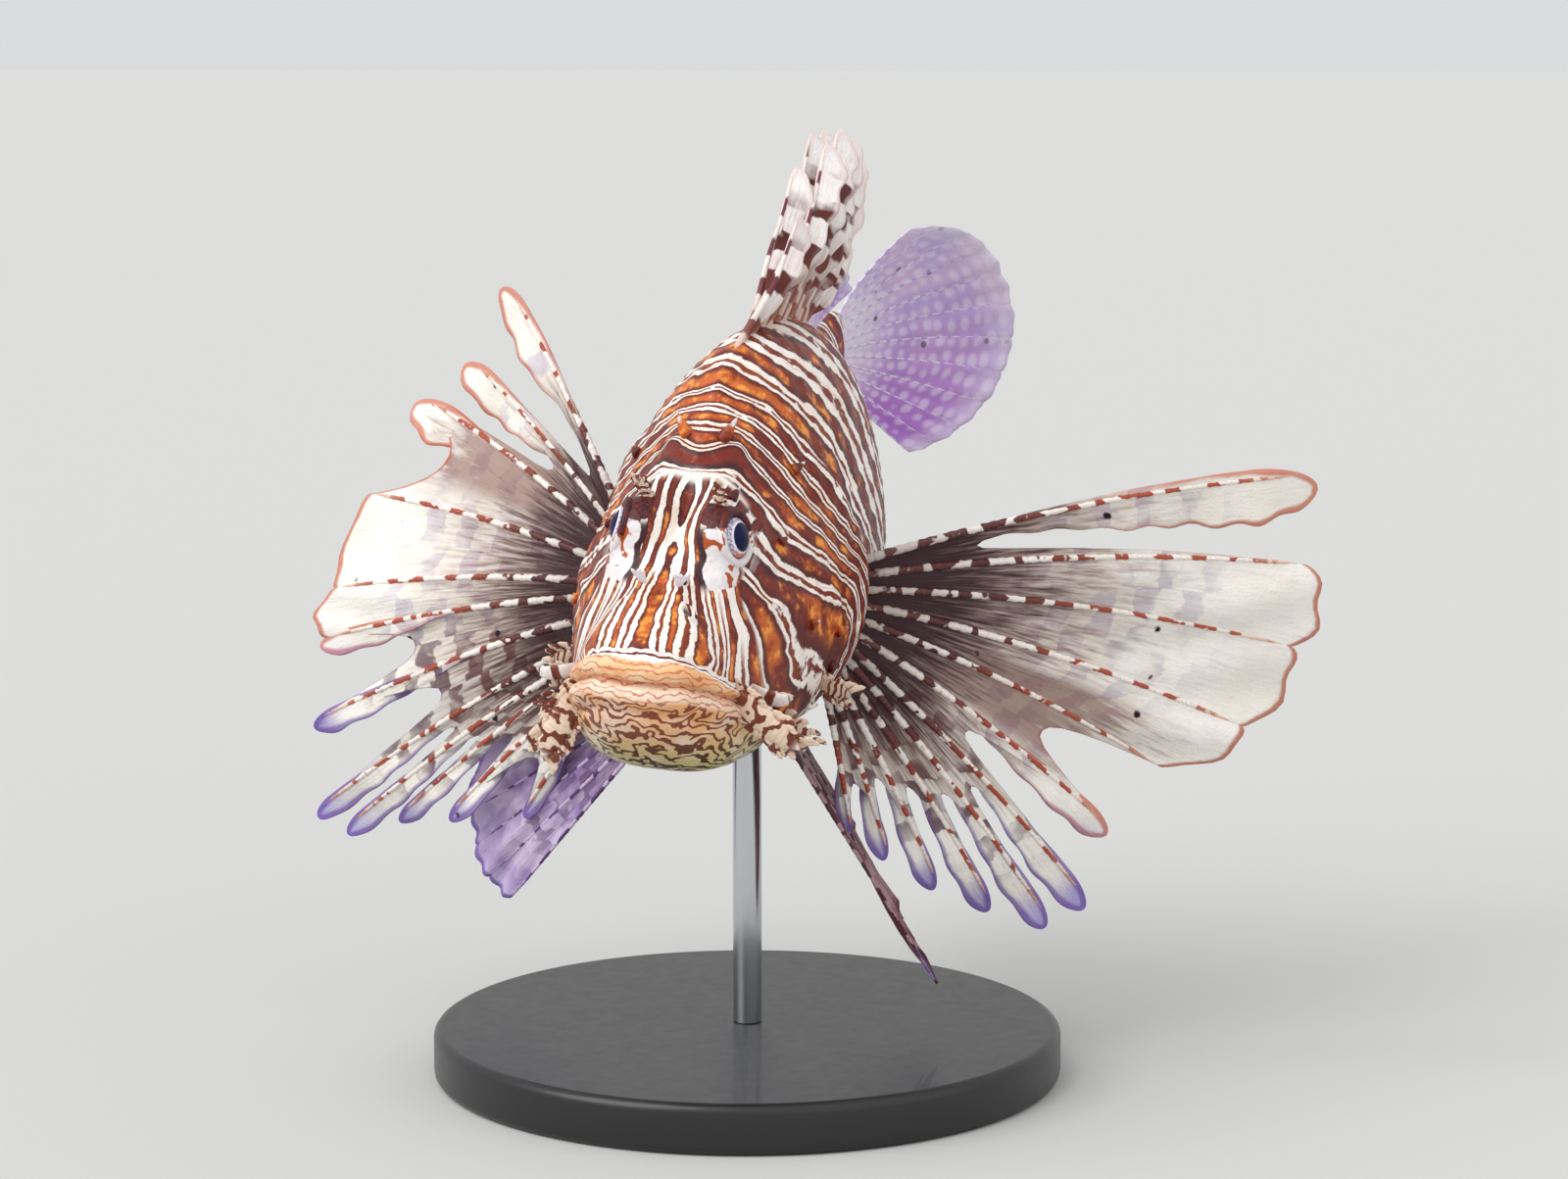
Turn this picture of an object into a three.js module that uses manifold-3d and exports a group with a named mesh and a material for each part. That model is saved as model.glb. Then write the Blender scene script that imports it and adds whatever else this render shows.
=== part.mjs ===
// Red lionfish, life size, as a still display model on a plain stand.
//
// Frame: millimetres, +Z up, origin at the centre of the stand's underside. The fish points its head to
// -Y, so its left side is +X. It is shaped in its own straight frame (x to its left, y from the lip to the
// tail, z up, zero at the upper lip) and a group then tips it nose down and leans it over, as it swims.
import * as THREE from "three";
import { mergeVertices } from "three/addons/utils/BufferGeometryUtils.js";
import Module from "manifold-3d";

const wasm = await Module();
wasm.setup();

// Pose and stand
const NOSE_DOWN = THREE.MathUtils.degToRad(10);
const LEAN = THREE.MathUtils.degToRad(4.5);
const BASE_RADIUS = 76;
const BASE_HEIGHT = 12;
const BASE_EDGE = 2.5;
const ROD_RADIUS = 3.5;
const ROD_AT = 94;
const BELLY_OVER_BASE = 84;
const GAP = 0.3;

// Body
const SNOUT = -2;
const TAIL_ROOT = 225;
const TAIL_CUT = 166;
const AROUND = 36;
// Spacing of the rings from one station to the next: closest round the eyes
const SPACING = [
  { from: -2, to: 22, rings: 13 },
  { from: 22, to: 46, rings: 10 },
  { from: 46, to: 90, rings: 8 },
  { from: 90, to: 225, rings: 14 },
];

// Eyes
const EYE_RADIUS = 6;
const EYE_AT = new THREE.Vector3(9.6, 33, 16.9);
const EYE_LOOK = new THREE.Vector3(0.93, -0.24, 0.27).normalize();
const ORBIT_RADIUS = 7.4;
const ORBIT_AT = EYE_AT.clone().addScaledVector(EYE_LOOK, -0.5);
const ORBIT_CORE = new THREE.Vector3(7.4, 35.5, 12.4);
const LID_INNER = 4.9;
const LID_OUTER = 6.9;
const LID_RISE = 3.6;
const LID_HIGH = 1.2;

// Spines and leaves of skin on each side of the head, by their place from the lip back and their height
const HEAD_SPINES = [
  { s: 54, z: 34, length: 4.6, radius: 1.7, back: 0.5 },
  { s: 41, z: 24, length: 2.6, radius: 1.4, back: 0.9 },
  { s: 64, z: 25, length: 2.6, radius: 1.4, back: 1 },
  { s: 47, z: 13, length: 1.8, radius: 1.2, back: 1.2 },
  { s: 48, z: -6, length: 2, radius: 1.3, back: 1.2 },
  { s: 60, z: -11, length: 2.6, radius: 1.4, back: 1.4 },
  { s: 58, z: -19, length: 2.8, radius: 1.4, back: 1.2 },
  { s: 53, z: -27, length: 2.8, radius: 1.4, back: 0.9 },
];
const HEAD_LEAVES = [
  { s: 18, z: 9.6, length: 3, width: 2, rise: 0.35 },
  { s: 38, z: -25, length: 7, width: 4, rise: -0.3 },
  { s: 54, z: -22, length: 7, width: 4, rise: 0.1 },
  { s: 24, z: -16, length: 4.5, width: 3, rise: 0 },
];
const NOSTRIL_RADIUS = 0.9;
const NOSTRILS = [
  [20, 10.5],
  [13, 6],
];

// The body's outline at stations from the lip back: the heights of back and belly, the height and half
// width of its widest line, and how square the section is above and below that line (2 is an ellipse).
const STATIONS = [
  { s: -2, top: -6.2, low: -6.2, mid: -6.2, half: 0, over: 2, under: 2 },
  { s: 0, top: 0.5, low: -15, mid: -6.2, half: 9.5, over: 2, under: 2.2 },
  { s: 5, top: 4, low: -22.5, mid: -8.6, half: 13.6, over: 2, under: 2.4 },
  { s: 10, top: 7, low: -27.5, mid: -11.1, half: 16.4, over: 1.9, under: 2.6 },
  { s: 18, top: 10.5, low: -33, mid: -15, half: 19.5, over: 1.7, under: 2.8 },
  { s: 25, top: 16, low: -35.5, mid: -15, half: 21.5, over: 1.8, under: 2.8 },
  { s: 33, top: 24.5, low: -37, mid: -14, half: 24, over: 1.85, under: 2.7 },
  { s: 45, top: 30.5, low: -38, mid: -12, half: 27.5, over: 1.6, under: 2.5 },
  { s: 54, top: 36, low: -38.5, mid: -11, half: 30, over: 1.45, under: 2.4 },
  { s: 71, top: 47, low: -39, mid: -10, half: 31, over: 1.55, under: 2.3 },
  { s: 90, top: 49.5, low: -38.5, mid: -9, half: 30.5, over: 1.6, under: 2.2 },
  { s: 110, top: 47, low: -37, mid: -8, half: 28.5, over: 1.65, under: 2.1 },
  { s: 130, top: 42, low: -34, mid: -3, half: 23.5, over: 1.8, under: 2 },
  { s: 150, top: 35, low: -28, mid: 2, half: 18, over: 1.9, under: 2 },
  { s: 170, top: 28.5, low: -18.5, mid: 6, half: 12.5, over: 2, under: 2 },
  { s: 190, top: 23.5, low: -9, mid: 8.5, half: 8.5, over: 2, under: 2 },
  { s: 205, top: 21, low: -3.5, mid: 9.5, half: 6, over: 2, under: 2 },
  { s: 225, top: 22, low: -1.5, mid: 10.5, half: 3.6, over: 2, under: 2 },
];

// The heading of the backbone, in degrees to the fish's left
const HEADINGS = [
  { s: -2, turn: 0 },
  { s: 60, turn: 0 },
  { s: 82, turn: 4 },
  { s: 110, turn: 0 },
  { s: 140, turn: -9 },
  { s: 170, turn: -11 },
  { s: 200, turn: -3 },
  { s: 225, turn: 15 },
];

const clamp = THREE.MathUtils.clamp;
const lerp = THREE.MathUtils.lerp;
const smooth = THREE.MathUtils.smoothstep;
const radians = THREE.MathUtils.degToRad;
const vec = (x, y, z) => new THREE.Vector3(x, y, z);

// A smooth curve through one value of a list of stations
function through(stations, key, at, place) {
  let i = 0;
  while (i < stations.length - 2 && place(stations[i + 1].s) < place(at)) {
    i += 1;
  }
  const slope = (k) => {
    const a = stations[Math.max(k - 1, 0)];
    const b = stations[Math.min(k + 1, stations.length - 1)];
    return (b[key] - a[key]) / (place(b.s) - place(a.s));
  };
  const a = stations[i];
  const b = stations[i + 1];
  const span = place(b.s) - place(a.s);
  const t = clamp((place(at) - place(a.s)) / span, 0, 1);
  const blend = t * t * (3 - 2 * t);
  const rise = a[key] * (1 - blend) + b[key] * blend;
  const lead = slope(i) * span * t * (1 - t) * (1 - t);
  const trail = slope(i + 1) * span * t * t * (t - 1);
  return rise + lead + trail;
}

// Rings lie close at the snout and wide at the tail, because the snout rounds over like a root curve.
const fromSnout = (s) => Math.sqrt(Math.max(s - SNOUT, 0));
const outline = (key, s) => through(STATIONS, key, s, fromSnout);

// The backbone seen from above, stepped along its heading
const STEP = 1;
const backbone = [{ x: 0, y: SNOUT, turn: 0 }];
for (let s = SNOUT; s < TAIL_ROOT + 80; s += STEP) {
  const last = backbone[backbone.length - 1];
  const turn = radians(through(HEADINGS, "turn", Math.min(s, TAIL_ROOT), (v) => v));
  backbone.push({ x: last.x + Math.sin(turn) * STEP, y: last.y + Math.cos(turn) * STEP, turn });
}

// A point of the straight fish carried onto the bent backbone
function bend(p) {
  const place = clamp((p.y - SNOUT) / STEP, 0, backbone.length - 2);
  const i = Math.floor(place);
  const f = place - i;
  const a = backbone[i];
  const b = backbone[i + 1];
  const turn = lerp(a.turn, b.turn, f);
  const x = lerp(a.x, b.x, f) + p.x * Math.cos(turn);
  const y = lerp(a.y, b.y, f) - p.x * Math.sin(turn) + Math.min(p.y - SNOUT, 0);
  return vec(x, y, p.z);
}

// The plain section of the body, angle 0 on the fish's left and a quarter turn on its back
function plainSkin(s, angle) {
  const c = Math.cos(angle);
  const d = Math.sin(angle);
  const mid = outline("mid", s);
  const power = 2 / outline(d > 0 ? "over" : "under", s);
  const reach = d > 0 ? outline("top", s) - mid : mid - outline("low", s);
  const x = outline("half", s) * Math.sign(c) * Math.abs(c) ** power;
  return vec(x, s, mid + reach * Math.sign(d) * Math.abs(d) ** power);
}

// The mouth line in side view: it slopes down from the lip to the corner of the mouth
const MOUTH_CORNER = 20;
const mouthHeight = (s) => -6.2 - 9.8 * clamp(s / MOUTH_CORNER, 0, 1);

// The height of what the head carries above its plain section
function relief(p) {
  const side = Math.abs(p.x);
  const nearEyes = Math.exp(-(((p.y - 34) / 9) ** 2));
  const hollow = -5.5 * Math.exp(-((side / 4.8) ** 2)) * nearEyes;
  const brow = 1.6 * Math.exp(-(((side - 7.6) / 3) ** 2)) * nearEyes;
  const front = 1 - smooth(p.y, MOUTH_CORNER - 6, MOUTH_CORNER + 4);
  const above = p.z - mouthHeight(p.y);
  const lips = 1.1 * Math.exp(-(((above - 3) / 2.2) ** 2)) + 1.1 * Math.exp(-(((above + 3.2) / 2.4) ** 2));
  const seam = -0.9 * Math.exp(-((above / 1.1) ** 2)) - 0.7 * Math.exp(-(((above - 7) / 1.2) ** 2));
  const top = p.z > 0 ? hollow + brow : 0;
  return top + front * (lips + seam);
}

// A dome round each eye, joined to the head with a soft edge
const DOME_BLEND = 3;
function overOrbit(p, margin) {
  const side = p.x < 0 ? -1 : 1;
  const core = vec(ORBIT_CORE.x * side, ORBIT_CORE.y, ORBIT_CORE.z);
  const toDome = core.clone().sub(vec(ORBIT_AT.x * side, ORBIT_AT.y, ORBIT_AT.z));
  const out = p.clone().sub(core);
  const reach = out.length();
  out.normalize();
  const half = toDome.dot(out);
  const dome = -half + Math.sqrt(half ** 2 - toDome.lengthSq() + (ORBIT_RADIUS + margin) ** 2);
  const near = Math.max(DOME_BLEND - Math.abs(reach - dome), 0) / DOME_BLEND;
  return core.addScaledVector(out, Math.max(reach, dome) + (near ** 2 * DOME_BLEND) / 4);
}

// The gill cover's rear edge in side view, top to bottom
const GILL_EDGE = new THREE.SplineCurve([
  new THREE.Vector2(64, 70),
  new THREE.Vector2(64, 44),
  new THREE.Vector2(73, 26),
  new THREE.Vector2(82, 8),
  new THREE.Vector2(84, -6),
  new THREE.Vector2(79, -20),
  new THREE.Vector2(68, -31),
  new THREE.Vector2(56, -42),
  new THREE.Vector2(52, -60),
]).getPoints(24);

function gillEdgeAt(z) {
  let i = 0;
  while (i < GILL_EDGE.length - 2 && GILL_EDGE[i + 1].y > z) {
    i += 1;
  }
  const a = GILL_EDGE[i];
  const b = GILL_EDGE[i + 1];
  return lerp(a.x, b.x, clamp((a.y - z) / (a.y - b.y), 0, 1));
}

// The gill cover stands a little proud of the flank behind it.
const COVER_PROUD = 1.6;
function coverLift(p) {
  const ahead = gillEdgeAt(p.z) - p.y;
  const onSide = 1 - smooth(Math.abs(p.z + 4), 22, 34);
  return COVER_PROUD * onSide * (1 - smooth(ahead, 0, 14)) * smooth(ahead, -6, 0);
}

// A point on the skin, raised by its relief and grown outwards by a margin
function skin(s, angle, margin, withCover) {
  const here = plainSkin(s, angle);
  if (s <= SNOUT) {
    return vec(0, s - margin - relief(here), here.z);
  }
  const ds = plainSkin(s + 0.2, angle).sub(plainSkin(Math.max(s - 0.2, SNOUT), angle));
  const da = plainSkin(s, angle + 0.03).sub(plainSkin(s, angle - 0.03));
  const normal = new THREE.Vector3().crossVectors(ds, da).normalize();
  if (normal.x * here.x + normal.z * (here.z - outline("mid", s)) < 0) {
    normal.negate();
  }
  const lift = relief(here) + (withCover ? coverLift(here) : 0) + margin;
  return overOrbit(here.addScaledVector(normal, lift), margin);
}

// A closed surface from rings of points; each end is a flat cap fanned from its centre, or a point
function loft(rings) {
  const points = [];
  const faces = [];
  const count = rings[0].length;
  rings.forEach((ring) => ring.forEach((p) => points.push(p.x, p.y, p.z)));
  for (let i = 0; i < rings.length - 1; i += 1) {
    for (let j = 0; j < count; j += 1) {
      const a = i * count + j;
      const b = i * count + ((j + 1) % count);
      faces.push(a, b, a + count, b, b + count, a + count);
    }
  }
  [0, rings.length - 1].forEach((end) => {
    const ring = rings[end];
    const centre = ring.reduce((sum, p) => sum.add(p), vec(0, 0, 0)).divideScalar(count);
    points.push(centre.x, centre.y, centre.z);
    const hub = points.length / 3 - 1;
    for (let j = 0; j < count; j += 1) {
      const a = end * count + j;
      const b = end * count + ((j + 1) % count);
      faces.push(...(end === 0 ? [b, a, hub] : [a, b, hub]));
    }
  });
  return closed(points, faces);
}

// A solid from loose lists of points and faces, with equal points merged and its faces turned out
function closed(points, faces) {
  const geometry = new THREE.BufferGeometry();
  geometry.setAttribute("position", new THREE.Float32BufferAttribute(points, 3));
  geometry.setIndex(faces);
  return solid(geometry);
}

function solid(geometry) {
  geometry.deleteAttribute("normal");
  geometry.deleteAttribute("uv");
  const merged = mergeVertices(geometry, 1e-4);
  const corners = merged.index.array;
  const kept = [];
  for (let i = 0; i < corners.length; i += 3) {
    const [a, b, c] = corners.slice(i, i + 3);
    if (a !== b && b !== c && c !== a) {
      kept.push(a, b, c);
    }
  }
  const place = merged.attributes.position;
  const at = (i) => new THREE.Vector3().fromBufferAttribute(place, i);
  let volume = 0;
  for (let i = 0; i < kept.length; i += 3) {
    volume += at(kept[i]).dot(at(kept[i + 1]).cross(at(kept[i + 2])));
  }
  if (volume < 0) {
    for (let i = 0; i < kept.length; i += 3) {
      [kept[i], kept[i + 1]] = [kept[i + 1], kept[i]];
    }
  }
  const mesh = new wasm.Mesh({
    numProp: 3,
    vertProperties: new Float32Array(place.array),
    triVerts: new Uint32Array(kept),
  });
  return new wasm.Manifold(mesh);
}

// The largest closed surface of a solid
function largest(body) {
  const pieces = body.decompose();
  return pieces.reduce((best, piece) => (piece.volume() > best.volume() ? piece : best));
}

function geometryOf(body) {
  const mesh = body.getMesh();
  const geometry = new THREE.BufferGeometry();
  geometry.setAttribute("position", new THREE.BufferAttribute(new Float32Array(mesh.vertProperties), 3));
  geometry.setIndex(new THREE.BufferAttribute(new Uint32Array(mesh.triVerts), 1));
  return geometry;
}

// The body from one station to another
function bodyPart(from, to, margin, withCover) {
  const places = [from];
  SPACING.forEach((span) => {
    for (let i = 0; i < span.rings; i += 1) {
      const root = lerp(fromSnout(span.from), fromSnout(span.to), i / span.rings);
      const s = SNOUT + root ** 2;
      if (s > from + 0.5 && s < to - 0.5) {
        places.push(s);
      }
    }
  });
  places.push(to);
  const rings = places.map((s) => {
    const ring = [];
    for (let j = 0; j < AROUND; j += 1) {
      ring.push(bend(skin(s, ((j + 0.5) / AROUND) * 2 * Math.PI, margin, withCover)));
    }
    return ring;
  });
  return loft(rings);
}

// A prism across the fish over an outline given in side view
function sideBlock(outlinePoints) {
  const shape = new THREE.Shape(outlinePoints.map(([y, z]) => new THREE.Vector2(y, z)));
  const geometry = new THREE.ExtrudeGeometry(shape, { depth: 160, bevelEnabled: false });
  geometry.translate(0, 0, -80);
  geometry.applyMatrix4(new THREE.Matrix4().makeBasis(vec(0, 1, 0), vec(0, 0, 1), vec(1, 0, 0)));
  return solid(geometry);
}

const gillLine = (shift) => GILL_EDGE.map((p) => [p.x + shift, p.y]);
const aheadOfGills = sideBlock([[-40, -60], ...gillLine(0).reverse(), [-40, 70]]);
const behindGills = sideBlock([...gillLine(GAP), [TAIL_ROOT + 40, -60], [TAIL_ROOT + 40, 70]]);

// The lower jaw lies below the mouth line and ahead of a line from its corner down to the throat.
const jawOutline = (drop) => [
  [-20, -6.2 - drop],
  [0, -6.2 - drop],
  [MOUTH_CORNER - drop, mouthHeight(MOUTH_CORNER) - drop],
  [27 - drop, -22],
  [34 - drop, -60],
  [-20, -60],
];

const HEAD_END = 100;
const wholeHead = bodyPart(SNOUT, HEAD_END, 0, true).intersect(aheadOfGills);
const eyeMatrix = (side) => {
  const look = EYE_LOOK.clone();
  const at = EYE_AT.clone();
  look.x *= side;
  at.x *= side;
  const turn = new THREE.Quaternion().setFromUnitVectors(vec(0, 1, 0), look);
  return new THREE.Matrix4().compose(at, turn, vec(1, 1, 1));
};

function eyeBall(side, radius) {
  const ball = new THREE.SphereGeometry(radius, 16, 10);
  ball.applyMatrix4(eyeMatrix(side));
  return solid(ball);
}

// The opening that the eye looks out of
function eyeOpening(side) {
  const opening = new THREE.CylinderGeometry(LID_INNER + 0.3, LID_INNER, 14, 16);
  opening.translate(0, 7, 0);
  opening.applyMatrix4(eyeMatrix(side));
  return solid(opening);
}

// The rim of each orbit: a rounded ring round the eye
function lidRing(side, margin) {
  const profile = [];
  const middle = (LID_INNER + LID_OUTER) / 2;
  const thick = (LID_OUTER - LID_INNER) / 2 + margin;
  for (let i = 0; i <= 6; i += 1) {
    const a = (i / 6) * 2 * Math.PI;
    const rise = LID_RISE + (LID_HIGH + margin) * Math.sin(a);
    profile.push(new THREE.Vector2(middle + thick * Math.cos(a), rise));
  }
  const ring = new THREE.LatheGeometry(profile, 16);
  ring.applyMatrix4(eyeMatrix(side));
  return solid(ring);
}

// A short flat tentacle: a tapered tube along a curve, flattened, its broad side turned forward
function tentacle(points, width, steps) {
  const curve = new THREE.CatmullRomCurve3(points);
  const around = 6;
  const rings = [];
  for (let i = 0; i <= steps; i += 1) {
    const t = i / steps;
    const at = curve.getPoint(t);
    const along = curve.getTangent(t);
    const flat = new THREE.Vector3().crossVectors(along, vec(0.1, 1, 0.2)).normalize();
    const thin = new THREE.Vector3().crossVectors(along, flat).normalize();
    const half = (width / 2) * (0.55 + 0.45 * Math.sin(Math.PI * t)) * (t > 0.95 ? 0.45 : 1);
    const ring = [];
    for (let j = 0; j < around; j += 1) {
      const a = (j / around) * 2 * Math.PI;
      ring.push(
        at
          .clone()
          .addScaledVector(flat, half * Math.cos(a))
          .addScaledVector(thin, half * 0.4 * Math.sin(a))
      );
    }
    rings.push(ring);
  }
  return loft(rings);
}

// A place on the skin at a given height, with the way out of it
function placeOnSkin(side, s, z) {
  let low = -Math.PI / 2;
  let high = Math.PI / 2;
  for (let i = 0; i < 24; i += 1) {
    const middle = (low + high) / 2;
    if (plainSkin(s, middle).z < z) {
      low = middle;
    } else {
      high = middle;
    }
  }
  const at = skin(s, low, 0, true);
  const out = skin(s, low, 1, true).sub(at).normalize();
  return { at: vec(at.x * side, at.y, at.z), out: vec(out.x * side, out.y, out.z) };
}

// A short spine on the head: a cone with its root sunk in, leaning back
function headSpine(side, plan) {
  const { at, out } = placeOnSkin(side, plan.s, plan.z);
  const away = out.clone().add(vec(0, plan.back, 0)).normalize();
  const cone = new THREE.ConeGeometry(plan.radius, plan.length + 1.5, 5);
  cone.translate(0, plan.length / 2 - 0.75, 0);
  const turn = new THREE.Quaternion().setFromUnitVectors(vec(0, 1, 0), away);
  cone.applyMatrix4(new THREE.Matrix4().compose(at, turn, vec(1, 1, 1)));
  return solid(cone);
}

// A short leaf of skin on the head: a tapered tube along a curve, its root sunk in
function headLeaf(side, plan) {
  const { at, out } = placeOnSkin(side, plan.s, plan.z);
  const droop = vec(0, 0, plan.rise * plan.length);
  const points = [-0.15, 0.5, 1].map((t) => at.clone().addScaledVector(out, plan.length * t));
  return tentacle(points.map((p, i) => p.addScaledVector(droop, (i / 2) ** 2)), plan.width, 3);
}

function nostril(side, s, z) {
  const { at } = placeOnSkin(side, s, z);
  const pit = new THREE.SphereGeometry(NOSTRIL_RADIUS, 6, 4);
  pit.translate(at.x, at.y, at.z);
  return solid(pit);
}

let head = wholeHead.subtract(sideBlock(jawOutline(0)));
[1, -1].forEach((side) => {
  head = head.add(lidRing(side, 0));
  HEAD_SPINES.forEach((plan) => {
    head = head.add(headSpine(side, plan));
  });
  HEAD_LEAVES.forEach((plan) => {
    head = head.add(headLeaf(side, plan));
  });
  NOSTRILS.forEach(([s, z]) => {
    head = head.subtract(nostril(side, s, z));
  });
});
[1, -1].forEach((side) => {
  head = head.subtract(eyeBall(side, EYE_RADIUS + GAP)).subtract(eyeOpening(side));
});
head = largest(head);
const lowerJaw = largest(wholeHead.intersect(sideBlock(jawOutline(GAP))));
const torso = largest(bodyPart(50, TAIL_CUT, 0, false).intersect(behindGills));
const tail = bodyPart(TAIL_CUT + GAP, TAIL_ROOT, 0, false);

// What the fins and the rod must clear
const clearance = bodyPart(SNOUT, HEAD_END, GAP, true)
  .intersect(sideBlock([[-40, -60], ...gillLine(GAP).reverse(), [-40, 70]]))
  .add(bodyPart(50, TAIL_ROOT + 0.01, GAP, false))
  .add(lidRing(1, GAP))
  .add(lidRing(-1, GAP));

// A sheet of triangles given thickness: both faces are split alike, and a wall closes every open edge
function thickened(points, normals, halves, faces) {
  const places = [];
  [1, -1].forEach((side) => {
    points.forEach((p, i) => {
      const q = p.clone().addScaledVector(normals[i], side * halves[i]);
      places.push(q.x, q.y, q.z);
    });
  });
  const other = points.length;
  const edges = new Set();
  faces.forEach(([a, b, c]) => [`${a} ${b}`, `${b} ${c}`, `${c} ${a}`].forEach((edge) => edges.add(edge)));
  const skinFaces = [];
  faces.forEach(([a, b, c]) => {
    skinFaces.push(a, b, c, other + a, other + c, other + b);
    [[a, b], [b, c], [c, a]].forEach(([from, to]) => {
      if (!edges.has(`${to} ${from}`)) {
        skinFaces.push(to, from, other + from, to, other + from, other + to);
      }
    });
  });
  return closed(places, skinFaces);
}

// A fin: each ray is a ridge raised in one sheet. Between a ray and the next there is a web up to a notch,
// and past the notch each ray runs free with a flap of membrane along its far side.
const WEB_HALF = 0.3;
const BROAD_FLAP = 3.2;
function rayedFin(rays, look) {
  const rows = rays[0].length - 1;
  const points = [];
  const normals = [];
  const halves = [];
  const faces = [];
  const last = rays.length - 1;
  const columns = 3;
  const index = (i, j, column) => (i * (rows + 1) + j) * columns + column;
  rays.forEach((ray, i) => {
    const near = clamp(i, 1, last - 1);
    for (let j = 0; j <= rows; j += 1) {
      const t = j / rows;
      const along = ray[Math.min(j + 1, rows)].clone().sub(ray[Math.max(j - 1, 0)]).normalize();
      const across = rays[near + 1][j].clone().sub(rays[near - 1][j]);
      across.addScaledVector(along, -across.dot(along)).normalize();
      const normal = new THREE.Vector3().crossVectors(across, along);
      const ridge = lerp(look.ridge[0], look.ridge[1], t);
      const start = look.webs[Math.min(i, last - 1)] * 0.8;
      const taper = look.flaps[i] > BROAD_FLAP ? smooth(t, 0.88, 1) * 0.5 : smooth(t, 0.75, 1) * 0.85;
      const swell = smooth(t, start, start + 0.35) * (1 - taper);
      const flap = look.flaps[i] * swell;
      const widths = [-ridge, 0, ridge + flap];
      widths.forEach((width, column) => {
        points.push(ray[j].clone().addScaledVector(across, width));
        normals.push(normal);
        halves.push(column === 1 ? lerp(look.thick[0], look.thick[1], t) : WEB_HALF * lerp(1, 0.8, t));
      });
    }
  });
  const quad = (a, b, c, d) => faces.push([a, b, c], [a, c, d]);
  rays.forEach((ray, i) => {
    for (let j = 0; j < rows; j += 1) {
      quad(index(i, j, 0), index(i, j, 1), index(i, j + 1, 1), index(i, j + 1, 0));
      quad(index(i, j, 1), index(i, j, 2), index(i, j + 1, 2), index(i, j + 1, 1));
      if (i < last && j < Math.round(look.webs[i] * rows)) {
        quad(index(i, j, 2), index(i + 1, j, 0), index(i + 1, j + 1, 0), index(i, j + 1, 2));
      }
    }
  });
  return thickened(points, normals, halves, faces);
}

// Pectoral fins, ray by ray from the top: the angle above the fish's side, the sweep back from square to
// the body, and the length
const PECTORAL_ROOT_TOP = vec(24, 82, -4);
const PECTORAL_ROOT_LOW = vec(22, 84, -31);
const LEFT_PECTORAL = {
  angles: [9, -1, -10, -20, -28, -38, -47, -52, -57, -63, -70, -78],
  sweeps: [28, 28, 28, 28, 28, 26, 24, 22, 20, 18, 16, 14],
  lengths: [116, 118, 118, 112, 96, 90, 97, 92, 78, 64, 50, 40],
  webs: [0.3, 1, 1, 1, 0.7, 0.5, 0.6, 0.6, 0.6, 0.6, 0.7],
  flaps: [10, 0.5, 0.5, 0.5, 2.5, 4.4, 4.2, 4, 3.6, 3.4, 2.6, 0],
};
const RIGHT_PECTORAL = {
  angles: [40, 22.5, 15, 2, -11, -17, -27, -37, -40, -42, -46, -56],
  sweeps: [42, 40, 34, 22, 14, 12, 10, 10, 10, 10, 10, 10],
  lengths: [76, 78, 84, 84, 88, 91, 99, 110, 104, 88, 74, 56],
  webs: [0.3, 0.5, 0.8, 1, 1, 0.7, 0.6, 0.6, 0.6, 0.6, 0.7],
  flaps: [6.5, 6.5, 7, 0.5, 0.5, 4, 3.6, 3, 2.4, 2, 2, 0],
};
const PECTORAL_ARCH = 0.12;
const PECTORAL_LOOK = { ridge: [0.5, 0.7], thick: [1.1, 0.5] };
const PECTORAL_ROWS = 10;

function pectoralRays(side, plan) {
  const last = plan.angles.length - 1;
  return plan.angles.map((degrees, i) => {
    const root = PECTORAL_ROOT_TOP.clone().lerp(PECTORAL_ROOT_LOW, i / last);
    const angle = radians(degrees);
    const sweep = radians(plan.sweeps[i]);
    const out = vec(Math.cos(sweep), Math.sin(sweep), 0);
    const away = out.multiplyScalar(Math.cos(angle)).add(vec(0, 0, Math.sin(angle)));
    const ray = [];
    for (let j = 0; j <= PECTORAL_ROWS; j += 1) {
      const t = j / PECTORAL_ROWS;
      const p = root.clone().addScaledVector(away, plan.lengths[i] * t);
      p.z += PECTORAL_ARCH * plan.lengths[i] * t * (1 - t);
      p.x *= side;
      ray.push(p);
    }
    return ray;
  });
}

// Median fins: rays in the fish's middle plane, from a line of roots, leaning back
function medianRays(plan) {
  const last = plan.lengths.length - 1;
  return plan.lengths.map((length, i) => {
    const s = lerp(plan.from, plan.to, i / last);
    const lean = radians(lerp(plan.lean[0], plan.lean[1], i / last));
    const edge = outline(plan.up > 0 ? "top" : "low", s) - plan.up * plan.sunk;
    const ray = [];
    for (let j = 0; j <= plan.rows; j += 1) {
      const t = j / plan.rows;
      const reach = length * t;
      const sway = plan.sway * (i % 2 === 0 ? 1 : -1) * smooth(t, 0.12, 0.6);
      const aside = Math.sin(radians(plan.splay * (i / last))) * reach + sway;
      const back = s + Math.sin(lean) * reach;
      ray.push(bend(vec(aside, back, edge + plan.up * Math.cos(lean) * reach)));
    }
    return ray;
  });
}

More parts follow.
